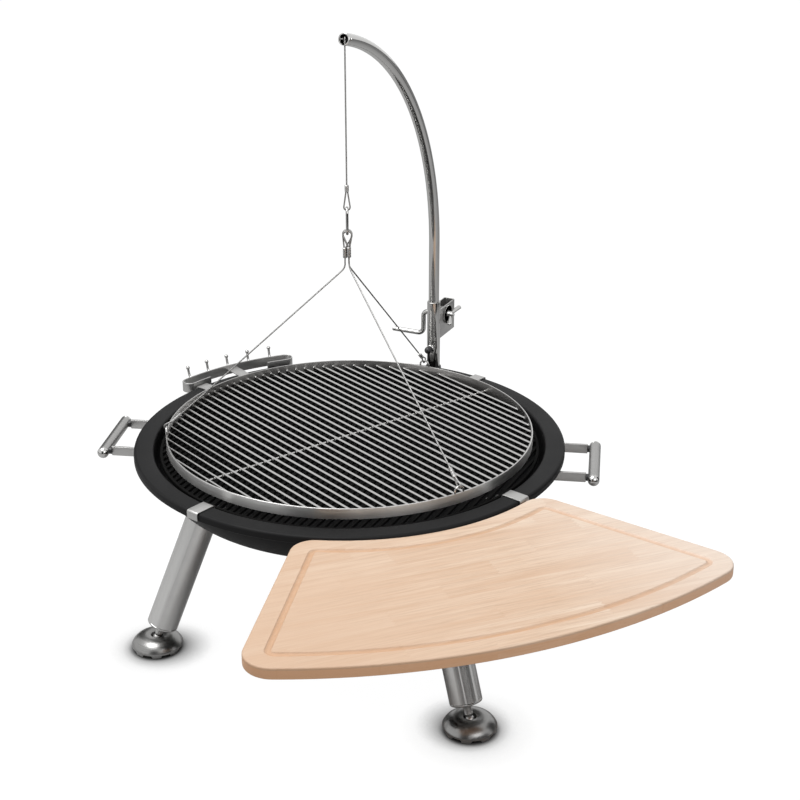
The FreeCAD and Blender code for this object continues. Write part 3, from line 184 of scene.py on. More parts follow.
class Finishes(bpy.types.PropertyGroup):
    paint: colour("Paint", (0.011, 0.011, 0.0113), "Powder coat of the bowl")
    steel: colour("Steel", (0.54, 0.536, 0.527), "Polished stainless steel")
    bright: colour("Bright steel", (0.68, 0.675, 0.663), "Bright ring of the grate")
    # Painted light: the legs' steel is a lighter copy of the same stainless steel.
    leg: colour("Leg steel", (0.62, 0.616, 0.607), "Brushed tubes of the legs")
    # Painted shade: a darker colour laid on the inner face of the grate's ring.
    smoke: colour("Smoke", (0.12, 0.115, 0.11), "Inner face of the grate's ring, dulled by smoke")
    # Painted shade: the feet's steel is a darker copy of the same stainless steel, besides being rougher.
    dome: colour("Foot steel", (0.29, 0.288, 0.283), "Duller domes of the feet")
    # Painted shade: the grips' steel is a darker copy of the same stainless steel, besides being rougher.
    grip: colour("Grip steel", (0.39, 0.387, 0.38), "Duller tubes of the handles")
    satin: colour("Satin steel", (0.49, 0.486, 0.478), "Brushed stainless steel")
    plastic: colour("Plastic", (0.014, 0.014, 0.015), "Black plastic")
    rubber: colour("Rubber", (0.012, 0.012, 0.012), "Black rubber")
    iron: colour("Iron", (0.0055, 0.0054, 0.0053), "Charcoal grate")
    wood_pale: colour("Pale wood", (0.78, 0.625, 0.49), "Palest staves of the board")
    # Gives the darkest staves, and also painted shade towards one end of the board.
    wood_warm: colour("Warm wood", (0.66, 0.455, 0.315), "Darkest staves of the board")
    # Painted light: a paler colour laid towards the other end of the board.
    wood_bleached: colour("Lighter wood", (0.95, 0.86, 0.78), "Staves towards the board's paler end")
    # Painted shade in the groove and along the rounded top edges.
    wood_edge: colour("Wood edges", (0.56, 0.285, 0.13), "Edges and groove of the board, darker from painted_shade")
    wood_side: colour("Wood sides", (0.89, 0.46, 0.23), "Sides of the board below its groove, yellower")
    wood_streak: colour("Wood streaks", (0.48, 0.28, 0.16), "Pores and streaks of the wood")
    floor: colour("Floor", (0.52, 0.52, 0.52), "Floor of the studio, as it lights the object")


class StageSizes(bpy.types.PropertyGroup):
    camera_x: length("Camera x", 1.2386, "Camera place along x")
    camera_y: length("Camera y", -2.4308, "Camera place along y")
    camera_z: length("Camera height", 1.6589, "Camera height above the floor")
    heading: angle("Camera heading", 25.04, "Camera heading, from +Y towards -X")
    dip: angle("Camera dip", 22.87, "How far the camera looks down")
    lens: amount("Lens", 72.0, "Focal length", "CAMERA")
    floor_size: length("Floor size", 60.0, "Side of the floor")
    floor_white: level("Floor white", 0.86, "Share of the floor that stays white under the soft shadow")
    shadow_reach: length("Shadow reach", 0.08, "How far the dark shadow at a foot reaches")
    shadow_depth: amount("Shadow depth", 3.6, "How dark that shadow is")
    floor_glow: amount("Floor glow", 1.14, "Light of the floor that the camera sees")
    sky: level("Sky", 0.4, "Light of the surroundings on the object")
    key: amount("Key light", 85.0, "Power of the main light", "POWER")
    fill: amount("Fill light", 20.0, "Power of the fill light", "POWER")


# Lines and sections


def polar(radius, azimuth, height=0.0):
    return Vector((radius * math.cos(azimuth), radius * math.sin(azimuth), height))


def turned(points, azimuth):
    turn = Matrix.Rotation(azimuth, 3, "Z")
    return [turn @ point for point in points]


def profile_arc(centre, radius, start, end, steps):
    """Points of an arc in a profile. Angles are from straight down, towards the outside."""
    points = []
    for number in range(steps + 1):
        turn = math.radians(start + (end - start) * number / steps)
        points.append((centre[0] + radius * math.sin(turn), centre[1] - radius * math.cos(turn)))
    return points


def arc_through(a, b, c, steps):
    """Points of the arc from a over b to c in a profile."""
    (ax, ay), (bx, by), (cx, cy) = a, b, c
    double = 2 * (ax * (by - cy) + bx * (cy - ay) + cx * (ay - by))
    a2, b2, c2 = ax ** 2 + ay ** 2, bx ** 2 + by ** 2, cx ** 2 + cy ** 2
    x = (a2 * (by - cy) + b2 * (cy - ay) + c2 * (ay - by)) / double
    y = (a2 * (cx - bx) + b2 * (ax - cx) + c2 * (bx - ax)) / double
    first = math.atan2(ay - y, ax - x)
    last = math.atan2(cy - y, cx - x)
    radius = math.hypot(ax - x, ay - y)
    turns = [first + (last - first) * number / steps for number in range(steps + 1)]
    return [(x + radius * math.cos(turn), y + radius * math.sin(turn)) for turn in turns]


def eased(points, ease, steps=3):
    """A closed outline whose corners are rounded by ease, or by as much as its sides allow."""
    corners = [Vector(point) for point in points]
    outline = []
    for number, corner in enumerate(corners):
        before = corners[number - 1] - corner
        after = corners[(number + 1) % len(corners)] - corner
        back = before.normalized() * min(ease, before.length * 0.45)
        ahead = after.normalized() * min(ease, after.length * 0.45)
        for step in range(steps + 1):
            share = step / steps
            outline.append(corner + back * (1 - share) ** 2 + ahead * share ** 2)
    return outline


def circle(radius, steps):
    turns = [2 * math.pi * number / steps for number in range(steps)]
    return [Vector((radius * math.cos(turn), radius * math.sin(turn))) for turn in turns]


def rectangle(inner, outer, low, high, ease, steps=3):
    return eased([(inner, low), (outer, low), (outer, high), (inner, high)], ease, steps)


def strip(width, thickness, ease):
    w, t = width / 2, thickness / 2
    return eased([(w, t), (-w, t), (-w, -t), (w, -t)], ease)


def bent(points, bend, steps=8):
    """A path of straight runs joined by tangent arcs of radius bend."""
    path = [points[0]]
    for before, corner, after in zip(points, points[1:], points[2:]):
        ahead = (corner - before).normalized()
        leave = (after - corner).normalized()
        turn = ahead.angle(leave)
        setback = bend * math.tan(turn / 2)
        axis = ahead.cross(leave).normalized()
        start = corner - ahead * setback
        centre = start + axis.cross(ahead) * bend
        for step in range(steps + 1):
            path.append(centre + Matrix.Rotation(turn * step / steps, 3, axis) @ (start - centre))
    path.append(points[-1])
    return path


# Meshes


def new_piece(name, data):
    data.name = name
    piece = bpy.data.objects.new(name, data)
    bpy.context.scene.collection.objects.link(piece)
    return piece


def as_mesh(build, mesh=None):
    mesh = mesh or bpy.data.meshes.new("made")
    build.to_mesh(mesh)
    build.free()
    return mesh


def sharpened(mesh, degrees=32):
    mesh.shade_smooth()
    mesh.set_sharp_from_angle(angle=math.radians(degrees))
    return mesh


def reaches(points, closed):
    """The length along a line of points up to each of them."""
    ends = list(points) + ([points[0]] if closed else [])
    total = [0.0]
    for a, b in zip(ends, ends[1:]):
        total.append(total[-1] + (b - a).length)
    return total


def tidy(mesh):
    """Merges doubles, turns the faces outwards and shades the mesh by angle."""
    build = bmesh.new()
    build.from_mesh(mesh)
    bmesh.ops.remove_doubles(build, verts=build.verts, dist=MERGE)
    bmesh.ops.dissolve_degenerate(build, dist=1e-7, edges=build.edges)
    bmesh.ops.recalc_face_normals(build, faces=build.faces)
    sharpened(as_mesh(build, mesh)).update()


def shell(rows, loop=False, caps=False, spun=False):
    """A closed mesh over rows of points, mapped in metres, with its grain along the rows or round them."""
    count = len(rows[0])
    across = reaches(rows[len(rows) // 2], True)
    ahead = reaches([row[0] for row in rows], loop)
    faces = []
    places = []
    for i in range(len(rows) if loop else len(rows) - 1):
        low = i * count
        high = (i + 1) % len(rows) * count
        for j in range(count):
            k = (j + 1) % count
            faces.append((low + j, low + k, high + k, high + j))
            places += [(across[j], ahead[i]), (across[j + 1], ahead[i]),
                       (across[j + 1], ahead[i + 1]), (across[j], ahead[i + 1])]
    if caps:
        last = (len(rows) - 1) * count
        faces += [tuple(reversed(range(count))), tuple(range(last, last + count))]
        places += [(across[j], 0.0) for j in reversed(range(count))]
        places += [(across[j], ahead[-1]) for j in range(count)]
    if spun:
        places = [place[::-1] for place in places]
    mesh = bpy.data.meshes.new("shell")
    mesh.from_pydata([point for row in rows for point in row], [], faces)
    layer = mesh.uv_layers.new(name=GRAIN)
    layer.data.foreach_set("uv", [value for place in places for value in place])
    tidy(mesh)
    return mesh


def spokes(first, second, steps):
    """Unit vectors all round, in the plane of first and second."""
    return [first * ray.x + second * ray.y for ray in circle(1.0, steps)]


def revolved(profile, origin, axis=UP, steps=64):
    """A closed outline of (radius, height) pairs, or an open one from pole to pole, turned about an axis."""
    axis = axis.normalized()
    side = axis.orthogonal().normalized()
    rays = spokes(side, axis.cross(side), steps)
    rows = []
    for radius, height in profile:
        reach = radius if radius > POLE else 0.0
        rows.append([origin + ray * reach + axis * height for ray in rays])
    return shell(rows, loop=profile[0][0] > POLE, spun=True)


def middle_of(row):
    return sum(row, ORIGIN) / len(row)


def shrunk(row, ease):
    middle = middle_of(row)
    return [point + (middle - point).normalized() * ease for point in row]


def moved(row, towards, distance):
    step = (middle_of(towards) - middle_of(row)).normalized() * distance
    return [point + step for point in row]


def headings(path):
    """The direction of a path at each of its points."""
    befores = path[:1] + path[:-1]
    afters = path[1:] + path[-1:]
    return [(after - before).normalized() for before, after in zip(befores, afters)]


def swept(path, section, across, end_ease=0.0):
    """A flat path with a section of (across, outward) offsets, with its end edges eased."""
    rows = []
    for point, heading in zip(path, headings(path)):
        outward = across.cross(heading)
        rows.append([point + across * offset[0] + outward * offset[1] for offset in section])
    if end_ease:
        rows = [shrunk(rows[0], end_ease), moved(rows[0], rows[1], end_ease), *rows[1:-1],
                moved(rows[-1], rows[-2], end_ease), shrunk(rows[-1], end_ease)]
    return shell(rows, caps=True)


def joined(meshes):
    build = bmesh.new()
    for mesh in meshes:
        build.from_mesh(mesh)
    mesh = as_mesh(build)
    mesh.shade_smooth()
    return mesh


def turned_mesh(mesh, azimuth):
    copy = mesh.copy()
    copy.transform(Matrix.Rotation(azimuth, 4, "Z"))
    return copy


def settled(piece):
    """The piece as a plain mesh, with its modifiers applied."""
    bpy.context.view_layer.update()
    graph = bpy.context.evaluated_depsgraph_get()
    mesh = bpy.data.meshes.new_from_object(piece.evaluated_get(graph), preserve_all_data_layers=True,
                                           depsgraph=graph)
    name = piece.name
    bpy.data.objects.remove(piece)
    return new_piece(name, mesh)


def carved(piece, cutters):
    for cutter in cutters:
        modifier = piece.modifiers.new("Cut", "BOOLEAN")
        modifier.operation = "DIFFERENCE"
        modifier.solver = "EXACT"
        modifier.object = cutter
    piece = settled(piece)
    for cutter in cutters:
        bpy.data.objects.remove(cutter)
    piece.data.set_sharp_from_angle(angle=math.radians(32))
    return piece


def block(low, high, turn=Matrix.Identity(3), about=ORIGIN):
    """A box to cut with, between two corners, turned and then moved."""
    build = bmesh.new()
    bmesh.ops.create_cube(build, size=1.0)
    for vertex in build.verts:
        place = Vector([low[i] + (vertex.co[i] + 0.5) * (high[i] - low[i]) for i in range(3)])
        vertex.co = about + turn @ place
    return new_piece("cutter", as_mesh(build))


def lay_grain(mesh, along):
    """Maps every face in metres, with the grain running along one direction."""
    layer = mesh.uv_layers.get(GRAIN) or mesh.uv_layers.new(name=GRAIN)
    for face in mesh.polygons:
        side = face.normal.cross(along)
        side = side.normalized() if side.length > 0.2 else along.orthogonal().normalized()
        run = side.cross(face.normal)
        for corner in face.loop_indices:
            point = mesh.vertices[mesh.loops[corner].vertex_index].co
            layer.data[corner].uv = (point.dot(side), point.dot(run))


def dressed(name, node, along, bevel=0.0):
    """A copy of a CAD node with its triangles merged to faces, its edges eased and its grain laid."""
    build = bmesh.new()
    build.from_mesh(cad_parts[node].data)
    bmesh.ops.remove_doubles(build, verts=build.verts, dist=MERGE)
    bmesh.ops.dissolve_limit(build, angle_limit=math.radians(1), verts=build.verts, edges=build.edges)
    piece = new_piece(name, as_mesh(build))
    if bevel:
        modifier = piece.modifiers.new("Ease", "BEVEL")
        modifier.width = bevel
        modifier.segments = 2
        modifier.limit_method = "ANGLE"
        modifier.angle_limit = math.radians(45)
        piece = settled(piece)
    lay_grain(sharpened(piece.data), along)
    return piece


def placed(piece, body, look, slot, *nodes):
    """Gives a finished piece its finish, the body that it rides on and the nodes that it stands for."""
    piece.data.materials.clear()
    piece.data.materials.append(finish(look))
    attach(piece, body)
    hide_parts(*nodes)


def put(name, mesh, body, look, slot, *nodes):
    placed(new_piece(name, mesh), body, look, slot, *nodes)


def put_dressed(name, node, along, bevel, body, look, slot):
    placed(dressed(name, node, along, bevel), body, look, slot, node)


def put_grown(name, mesh, build, body, look, slot, node, **values):
    """Runs a tree on a mesh and puts what it makes."""
    piece = grown(new_piece(name, mesh), build, look, **values)
    placed(piece, body, look, slot, node)
    return piece


def heights(node):
    """The lowest and highest z of a CAD node."""
    return [corner.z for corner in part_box(node)]


# Nodes that shaders and geometry trees share


def give(tree, socket, value):
    if isinstance(value, bpy.types.NodeSocket):
        tree.links.new(value, socket)
    else:
        socket.default_value = value


def add(tree, kind, inputs=(), output=0, **settings):
    """Adds a node, gives its inputs values or links, and returns one of its outputs, or the node for None."""
    made = tree.nodes.new(kind)
    for setting, value in settings.items():
        setattr(made, setting, value)
    for key, value in inputs.items() if isinstance(inputs, dict) else enumerate(inputs):
        give(tree, made.inputs[key], value)
    return made if output is None else made.outputs[output]


def math_node(tree, operation, *values):
    return add(tree, "ShaderNodeMath", values, operation=operation)


def product(tree, first, second):
    return math_node(tree, "MULTIPLY", first, second)


def noise(tree, vector, scale, detail=3.0, roughness=0.55, distortion=0.0):
    return add(tree, "ShaderNodeTexNoise", {"Vector": vector, "Scale": scale, "Detail": detail,
                                            "Roughness": roughness, "Distortion": distortion}, "Fac")


def spread(tree, value, low, high, to_low=0.0, to_high=1.0):
    return add(tree, "ShaderNodeMapRange", (value, low, high, to_low, to_high))


def blended(tree, share, first, second):
    return add(tree, "ShaderNodeMix", {0: share, 6: first, 7: second}, 2, data_type="RGBA")


def at(tree, x=0.0, y=0.0, z=0.0):
    return add(tree, "ShaderNodeCombineXYZ", (x, y, z))


def axes_of(tree, vector):
    return add(tree, "ShaderNodeSeparateXYZ", (vector,), None).outputs


def scaled(tree, vector, x, y, z):
    return add(tree, "ShaderNodeVectorMath", (vector, at(tree, x, y, z)), operation="MULTIPLY")


def title(function):
    return function.__name__.replace("_", " ").capitalize()


# Masks, each a shader group


def brush_lines(tree, place, across, along):
    """Fine lines that run along the grain of a metal surface."""
    return noise(tree, scaled(tree, place, across, along, 1.0), 1.0, 4.0, 0.6)


def handling_marks(tree, place, scale):
    """Soft patches where a surface is a little duller."""
    return spread(tree, noise(tree, place, scale, 5.0, 0.6), 0.35, 0.7)


def fine_grit(tree, place, scale):
    """The pimpled skin of powder coat, moulded plastic, rubber and castings."""
    return noise(tree, place, scale, 2.0, 0.5)


def mask(tree, build, place, **values):
    """Puts a mask's group in a finish. The group is made when it is first needed."""
    name = title(build)
    group = bpy.data.node_groups.get(name)
    if not group:
        group = bpy.data.node_groups.new(name, "ShaderNodeTree")
        group.interface.new_socket(name="Vector", in_out="INPUT", socket_type="NodeSocketVector")
        for label, default in values.items():
            socket = group.interface.new_socket(name=label, in_out="INPUT", socket_type="NodeSocketFloat")
            socket.default_value = default
        group.interface.new_socket(name="Mask", in_out="OUTPUT", socket_type="NodeSocketFloat")
        given = group.nodes.new("NodeGroupInput").outputs
        made = build(group, given["Vector"], *(given[label] for label in values))
        add(group, "NodeGroupOutput", (made,), None)
    return add(tree, "ShaderNodeGroup", {"Vector": place, **values}, node_tree=group)


# Finishes, each a function that gives the inputs of its shader


def finishes():
    return bpy.context.scene.grill_finishes


def object_place(tree):
    return add(tree, "ShaderNodeTexCoord", (), "Object")


def grain_place(tree):
    return add(tree, "ShaderNodeUVMap", (), "UV", uv_map=GRAIN)


def bump(tree, height, distance):
    return add(tree, "ShaderNodeBump", {"Strength": 1.0, "Distance": distance, "Height": height}, "Normal")


def shade(tint, share=1.0):
    return (tint[0] * share, tint[1] * share, tint[2] * share, 1.0)


def steel(tree, tint, roughness, across, along, depth, contrast, smear=0.0, smear_turn=0.0):
    """Stainless steel with lines along its grain and soft marks from handling, its gloss smeared one way."""
    lines = mask(tree, brush_lines, grain_place(tree), Across=across, Along=along)
    marks = mask(tree, handling_marks, object_place(tree), Scale=22.0)
    clear = spread(tree, lines, 0.3, 0.7)
    base = blended(tree, clear, shade(tint, 1.0 - contrast), shade(tint, 1.0 + contrast * 0.5))
    base = blended(tree, product(tree, marks, 0.12), base, shade(tint, 0.75))
    dull = math_node(tree, "ADD", product(tree, clear, 0.6), product(tree, marks, 0.4))
    look = {"Base Color": base, "Roughness": spread(tree, dull, 0.0, 1.0, *roughness),
            "Normal": bump(tree, lines, depth), "Metallic": 1.0}
    if smear:
        look["Tangent"] = add(tree, "ShaderNodeTangent", (), "Tangent", direction_type="UV_MAP", uv_map=GRAIN)
        look["Anisotropic"] = smear
        look["Anisotropic Rotation"] = smear_turn
    return look


def smoked_steel(tree, tint, *values):
    """Brushed steel whose face towards the rods is darkened by painted shade."""
    look = steel(tree, tint, *values)
    grate = bpy.context.scene.grill_grate
    axes = axes_of(tree, object_place(tree))
    squares = [product(tree, axes[axis], axes[axis]) for axis in ("X", "Y")]
    radius = math_node(tree, "SQRT", math_node(tree, "ADD", *squares))
    inner = grate.ring_radius - grate.ring_band
    # Painted shade: the ring's inner face is darkened towards the rods.
    smoke = spread(tree, radius, inner + 0.0004, inner + 0.0018, 0.75, 0.0)
    look["Base Color"] = blended(tree, smoke, look["Base Color"], shade(finishes().smoke))
    return look


def drawn_wire(tree, tint):
    """Drawn wire with fine darker flecks."""
    flecks = noise(tree, object_place(tree), 700.0, 3.0)
    base = blended(tree, spread(tree, flecks, 0.3, 0.7), shade(tint, 0.6), shade(tint))
    return {"Base Color": base, "Roughness": spread(tree, flecks, 0.3, 0.7, 0.45, 0.28), "Metallic": 1.0}


def grit(tree, tint, roughness, scale, depth, specular):
    """A dull skin with fine pimples and faint cloudy patches."""
    place = object_place(tree)
    height = mask(tree, fine_grit, place, Scale=scale)
    marks = mask(tree, handling_marks, place, Scale=9.0)
    base = blended(tree, spread(tree, height, 0.35, 0.65), shade(tint, 0.85), shade(tint, 1.12))
    base = blended(tree, product(tree, marks, 0.25), base, shade(tint, 1.25))
    return {"Base Color": base, "Roughness": spread(tree, marks, 0.0, 1.0, *roughness),
            "Normal": bump(tree, height, depth), "Specular IOR Level": specular}


def staved_wood(tree, tint):
    """Finger-jointed staves of pale hardwood that run along the board's chord."""
    tints = finishes()
    board = bpy.context.scene.grill_board
    stave_width, stave_length = 0.044, 0.33
    finger, finger_depth = 0.0085, 0.006
    turn = (0, 0, QUARTER - board.direction)
    place = add(tree, "ShaderNodeMapping", {"Vector": object_place(tree), "Rotation": turn})
    along, across, height = axes_of(tree, place)
    stave = math_node(tree, "FLOOR", math_node(tree, "DIVIDE", across, stave_width))
    stave_seed = add(tree, "ShaderNodeTexWhiteNoise", {"W": stave}, "Value", noise_dimensions="1D")
    zigzag = math_node(tree, "PINGPONG", across, finger / 2)
    jogged = math_node(tree, "MULTIPLY_ADD", zigzag, 2 * finger_depth / finger, along)
    run = math_node(tree, "ADD", math_node(tree, "DIVIDE", jogged, stave_length), stave_seed)
    cell = at(tree, stave, math_node(tree, "FLOOR", run))
    seed = add(tree, "ShaderNodeTexWhiteNoise", {"Vector": cell}, None, noise_dimensions="2D").outputs
    jump = (7.0, 7.0, 7.0)
    shift = add(tree, "ShaderNodeVectorMath", (seed["Color"], jump, place), operation="MULTIPLY_ADD")
    figure = noise(tree, scaled(tree, shift, 4.0, 75.0, 75.0), 1.0, 5.0, 0.6, 0.7)
    fibres = noise(tree, scaled(tree, shift, 14.0, 420.0, 420.0), 1.0, 4.0, 0.65)
    pores = noise(tree, scaled(tree, shift, 90.0, 1500.0, 1500.0), 1.0, 2.0, 0.5)
    tone = math_node(tree, "MULTIPLY_ADD", figure, 0.8, product(tree, seed["Value"], 0.2))
    seam = spread(tree, math_node(tree, "PINGPONG", across, stave_width / 2), 0.0, 0.0006, 0.22, 0.0)
    joint = spread(tree, math_node(tree, "PINGPONG", run, 0.5), 0.0, 0.002, 0.2, 0.0)
    below = math_node(tree, "SUBTRACT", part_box("side_board")[1].z, height)
    groove = board.groove_depth
    base = shade(tint)
    for share, colour in (
            (spread(tree, tone, 0.3, 0.66), shade(tints.wood_warm)),
            (spread(tree, fibres, 0.46, 0.68, 0.0, 0.7), shade(tints.wood_warm, 0.8)),
            (spread(tree, pores, 0.62, 0.78, 0.0, 0.5), shade(tints.wood_streak)),
            # Painted shade towards one end of the board and painted light towards the other end.
            (spread(tree, along, -0.1, 0.3, 0.0, 0.7), shade(tints.wood_warm, 0.95)),
            (spread(tree, along, -0.42, -0.08, 0.55, 0.0), shade(tints.wood_bleached)),
            (math_node(tree, "MAXIMUM", seam, joint), shade(tints.wood_streak, 0.9)),
            # Painted shade in the groove and along the rounded top edges.
            (spread(tree, below, 0.0003, 0.0022, 0.0, 0.4), shade(tints.wood_edge)),
            (spread(tree, below, groove + 0.0003, groove + 0.002, 0.0, 0.4), shade(tints.wood_side))):
        base = blended(tree, share, base, colour)
    relief = math_node(tree, "SUBTRACT", fibres, product(tree, pores, 0.6))
    return {"Base Color": base, "Roughness": spread(tree, figure, 0.2, 0.8, 0.42, 0.56),
            "Normal": bump(tree, relief, 0.00005), "Specular IOR Level": 0.35}


# Steel: colour, roughness from and to, lines in a metre across and along, depth, contrast, smear, its turn.
# Grit: colour, roughness from and to, pimples in a metre, their depth, specular level.
LOOKS = {
    "polished_steel": (steel, "steel", (0.08, 0.14), 900.0, 12.0, 0.0000008, 0.04),
    "spun_steel": (steel, "satin", (0.2, 0.3), 700.0, 9.0, 0.000004, 0.1),
    "grip_steel": (steel, "grip", (0.32, 0.42), 600.0, 5.0, 0.000004, 0.1),
    "leg_steel": (steel, "leg", (0.2, 0.28), 600.0, 5.0, 0.000003, 0.08, 0.9, 0.25),
    "tube_steel": (steel, "steel", (0.07, 0.11), 900.0, 6.0, 0.0000006, 0.04, 0.4, 0.25),
    "sleeve_steel": (steel, "steel", (0.07, 0.11), 900.0, 6.0, 0.0000006, 0.04, 0.4),
    "dome_steel": (steel, "dome", (0.26, 0.36), 700.0, 9.0, 0.000004, 0.1),
    "satin_steel": (steel, "satin", (0.32, 0.46), 700.0, 7.0, 0.000006, 0.12),
    "rod_steel": (steel, "steel", (0.05, 0.09), 900.0, 12.0, 0.000001, 0.05),
    "ring_steel": (smoked_steel, "bright", (0.3, 0.4), 700.0, 7.0, 0.000006, 0.12, 0.9),
    "weld_bead_steel": (steel, "satin", (0.25, 0.45), 900.0, 700.0, 0.00004, 0.25),
    "drawn_wire": (drawn_wire, "satin"),
    "powder_coat": (grit, "paint", (0.46, 0.54), 900.0, 0.00006, 0.1),
    "moulded_plastic": (grit, "plastic", (0.32, 0.42), 1500.0, 0.00003, 0.5),
    "pad_rubber": (grit, "rubber", (0.7, 0.8), 1200.0, 0.00005, 0.3),
    "grate_iron": (grit, "iron", (0.75, 0.9), 500.0, 0.00012, 0.06),
    "staved_wood": (staved_wood, "wood_pale"),
}


def new_material(name):
    material = bpy.data.materials.new(name)
    material.use_nodes = True
    material.node_tree.nodes.clear()
    return material, material.node_tree


def finish(name):
    """The material of a look, made when it is first needed."""
    if name in bpy.data.materials:
        return bpy.data.materials[name]
    build, tint, *values = LOOKS[name]
    material, tree = new_material(name)
    shader = add(tree, "ShaderNodeBsdfPrincipled", build(tree, getattr(finishes(), tint), *values))
    add(tree, "ShaderNodeOutputMaterial", {"Surface": shader}, None)
    return material


# Geometry trees, each a function that gives its last geometry


def copies_round_the_bowl(tree, given):
    """Copies of a mesh, turned about the bowl's axis by equal steps."""
    points = add(tree, "GeometryNodePoints", {"Count": given["Count"]})
    index = add(tree, "GeometryNodeInputIndex")
    turn = math_node(tree, "MULTIPLY_ADD", index, given["Step"], given["First"])
    rotation = add(tree, "FunctionNodeEulerToRotation", (at(tree, z=turn),))
    return add(tree, "GeometryNodeInstanceOnPoints",
               {"Points": points, "Instance": given["Geometry"], "Rotation": rotation})


def copies_on_a_grid(tree, given):
    """Copies of a mesh on the corners of a rectangle, for fasteners."""
    grid = add(tree, "GeometryNodeMeshGrid",
               {"Size X": given["Long"], "Size Y": given["Wide"], "Vertices X": 2, "Vertices Y": 2})
    corners = add(tree, "GeometryNodeTransform", {"Geometry": grid, "Translation": given["Place"]})
    copies = add(tree, "GeometryNodeInstanceOnPoints", {"Points": corners, "Instance": given["Geometry"]})
    return add(tree, "GeometryNodeTransform", {"Geometry": copies, "Rotation": given["Turn"]})


def rods_in_a_ring(tree, given):
    """Parallel rods that end on the inside of a ring, with a weld bead at each end."""
    rod = add(tree, "GeometryNodeMeshCylinder",
              {"Vertices": given["Sides"], "Radius": given["Radius"], "Depth": 2.0}, None).outputs
    grain = scaled(tree, rod["UV Map"], 0.016, 0.6, 1.0)
    mapped = add(tree, "GeometryNodeStoreNamedAttribute",
                 {"Geometry": rod["Mesh"], "Name": GRAIN, "Value": grain},
                 data_type="FLOAT2", domain="CORNER")
    rolled = add(tree, "GeometryNodeTransform", {"Geometry": mapped, "Rotation": at(tree, z=given["Roll"])})
    laid = add(tree, "GeometryNodeTransform", {"Geometry": rolled, "Rotation": (0, QUARTER, 0)})
    half = product(tree, math_node(tree, "SUBTRACT", given["Count"], 1.0), -0.5)
    first = at(tree, 0.0, product(tree, half, given["Pitch"]), given["Height"])
    row = add(tree, "GeometryNodeMeshLine",
              {"Count": given["Count"], "Start Location": first, "Offset": at(tree, y=given["Pitch"])})
    rods = add(tree, "GeometryNodeInstanceOnPoints", {"Points": row, "Instance": laid})
    real = add(tree, "GeometryNodeRealizeInstances", (rods,))
    axes = axes_of(tree, add(tree, "GeometryNodeInputPosition"))
    squares = [product(tree, side, side) for side in (given["Reach"], axes["Y"])]
    reach = math_node(tree, "SQRT", math_node(tree, "SUBTRACT", *squares))
    ends = at(tree, product(tree, axes["X"], reach), axes["Y"], axes["Z"])
    fitted = add(tree, "GeometryNodeSetPosition", {"Geometry": real, "Position": ends})
    parts = add(tree, "GeometryNodeJoinGeometry", (fitted,), None)
    drop = add(tree, "GeometryNodeMeshIcoSphere", {"Subdivisions": 2, "Radius": given["Bead"]})
    for side in (-1.0, 1.0):
        spot = at(tree, product(tree, reach, side), axes["Y"], axes["Z"])
        spots = add(tree, "GeometryNodeSetPosition", {"Geometry": row, "Position": spot})
        drops = add(tree, "GeometryNodeInstanceOnPoints",
                    {"Points": spots, "Instance": drop, "Scale": (0.45, 1.0, 1.0)})
        give(tree, parts.inputs[0], drops)
    turn = at(tree, z=given["Turn"])
    return add(tree, "GeometryNodeTransform", {"Geometry": parts.outputs[0], "Rotation": turn})


def steel_cable(tree, given):
    """Twisted strands along a curve."""
    line = add(tree, "GeometryNodeResampleCurve", {"Curve": given["Geometry"], "Length": given["Step"]},
               mode="LENGTH")
    along = add(tree, "GeometryNodeSplineParameter", (), "Length")
    twist = product(tree, math_node(tree, "DIVIDE", along, given["Lay"]), 2 * math.pi)
    tilted = add(tree, "GeometryNodeSetCurveTilt", {"Curve": line, "Tilt": twist})
    ring = add(tree, "GeometryNodeCurvePrimitiveCircle",
               {"Resolution": product(tree, given["Strands"], 4.0), "Radius": 1.0})
    place = add(tree, "GeometryNodeInputPosition")
    axes = axes_of(tree, place)
    turn = math_node(tree, "ARCTAN2", axes["Y"], axes["X"])
    wave = math_node(tree, "COSINE", product(tree, turn, product(tree, given["Strands"], 0.5)))
    lobes = spread(tree, math_node(tree, "ABSOLUTE", wave), 0.0, 1.0, 0.72, 1.0)
    reach = product(tree, given["Radius"], lobes)
    section = add(tree, "GeometryNodeSetPosition",
                  {"Geometry": ring, "Position": scaled(tree, place, reach, reach, 1.0)})
    rope = add(tree, "GeometryNodeCurveToMesh",
               {"Curve": tilted, "Profile Curve": section, "Fill Caps": True})
    return add(tree, "GeometryNodeSetShadeSmooth", {"Geometry": rope})


def socket_kind(value):
    kinds = {int: "Int", float: "Float", tuple: "Vector", bpy.types.Material: "Material"}
    return "NodeSocket" + next(label for kind, label in kinds.items() if isinstance(value, kind))


def grown(piece, build, look, **values):
    """Runs a tree on a piece and returns it as a plain mesh. The tree is made when it is first needed."""
    values["Finish"] = finish(look)
    name = title(build)
    tree = bpy.data.node_groups.get(name)
    if not tree:
        tree = bpy.data.node_groups.new(name, "GeometryNodeTree")
        tree.interface.new_socket(name="Geometry", in_out="INPUT", socket_type="NodeSocketGeometry")
        for label, value in values.items():
            tree.interface.new_socket(name=label, in_out="INPUT", socket_type=socket_kind(value))
        tree.interface.new_socket(name="Geometry", in_out="OUTPUT", socket_type="NodeSocketGeometry")
        given = tree.nodes.new("NodeGroupInput").outputs
        real = add(tree, "GeometryNodeRealizeInstances", (build(tree, given),))
        finished = add(tree, "GeometryNodeSetMaterial", {"Geometry": real, "Material": given["Finish"]})
        add(tree, "NodeGroupOutput", (finished,), None)
    modifier = piece.modifiers.new(name, "NODES")
    modifier.node_group = tree
    for socket in tree.interface.items_tree:
        if socket.in_out == "INPUT" and socket.name in values:
            modifier[socket.identifier] = values[socket.name]
    return settled(piece)


# Cables


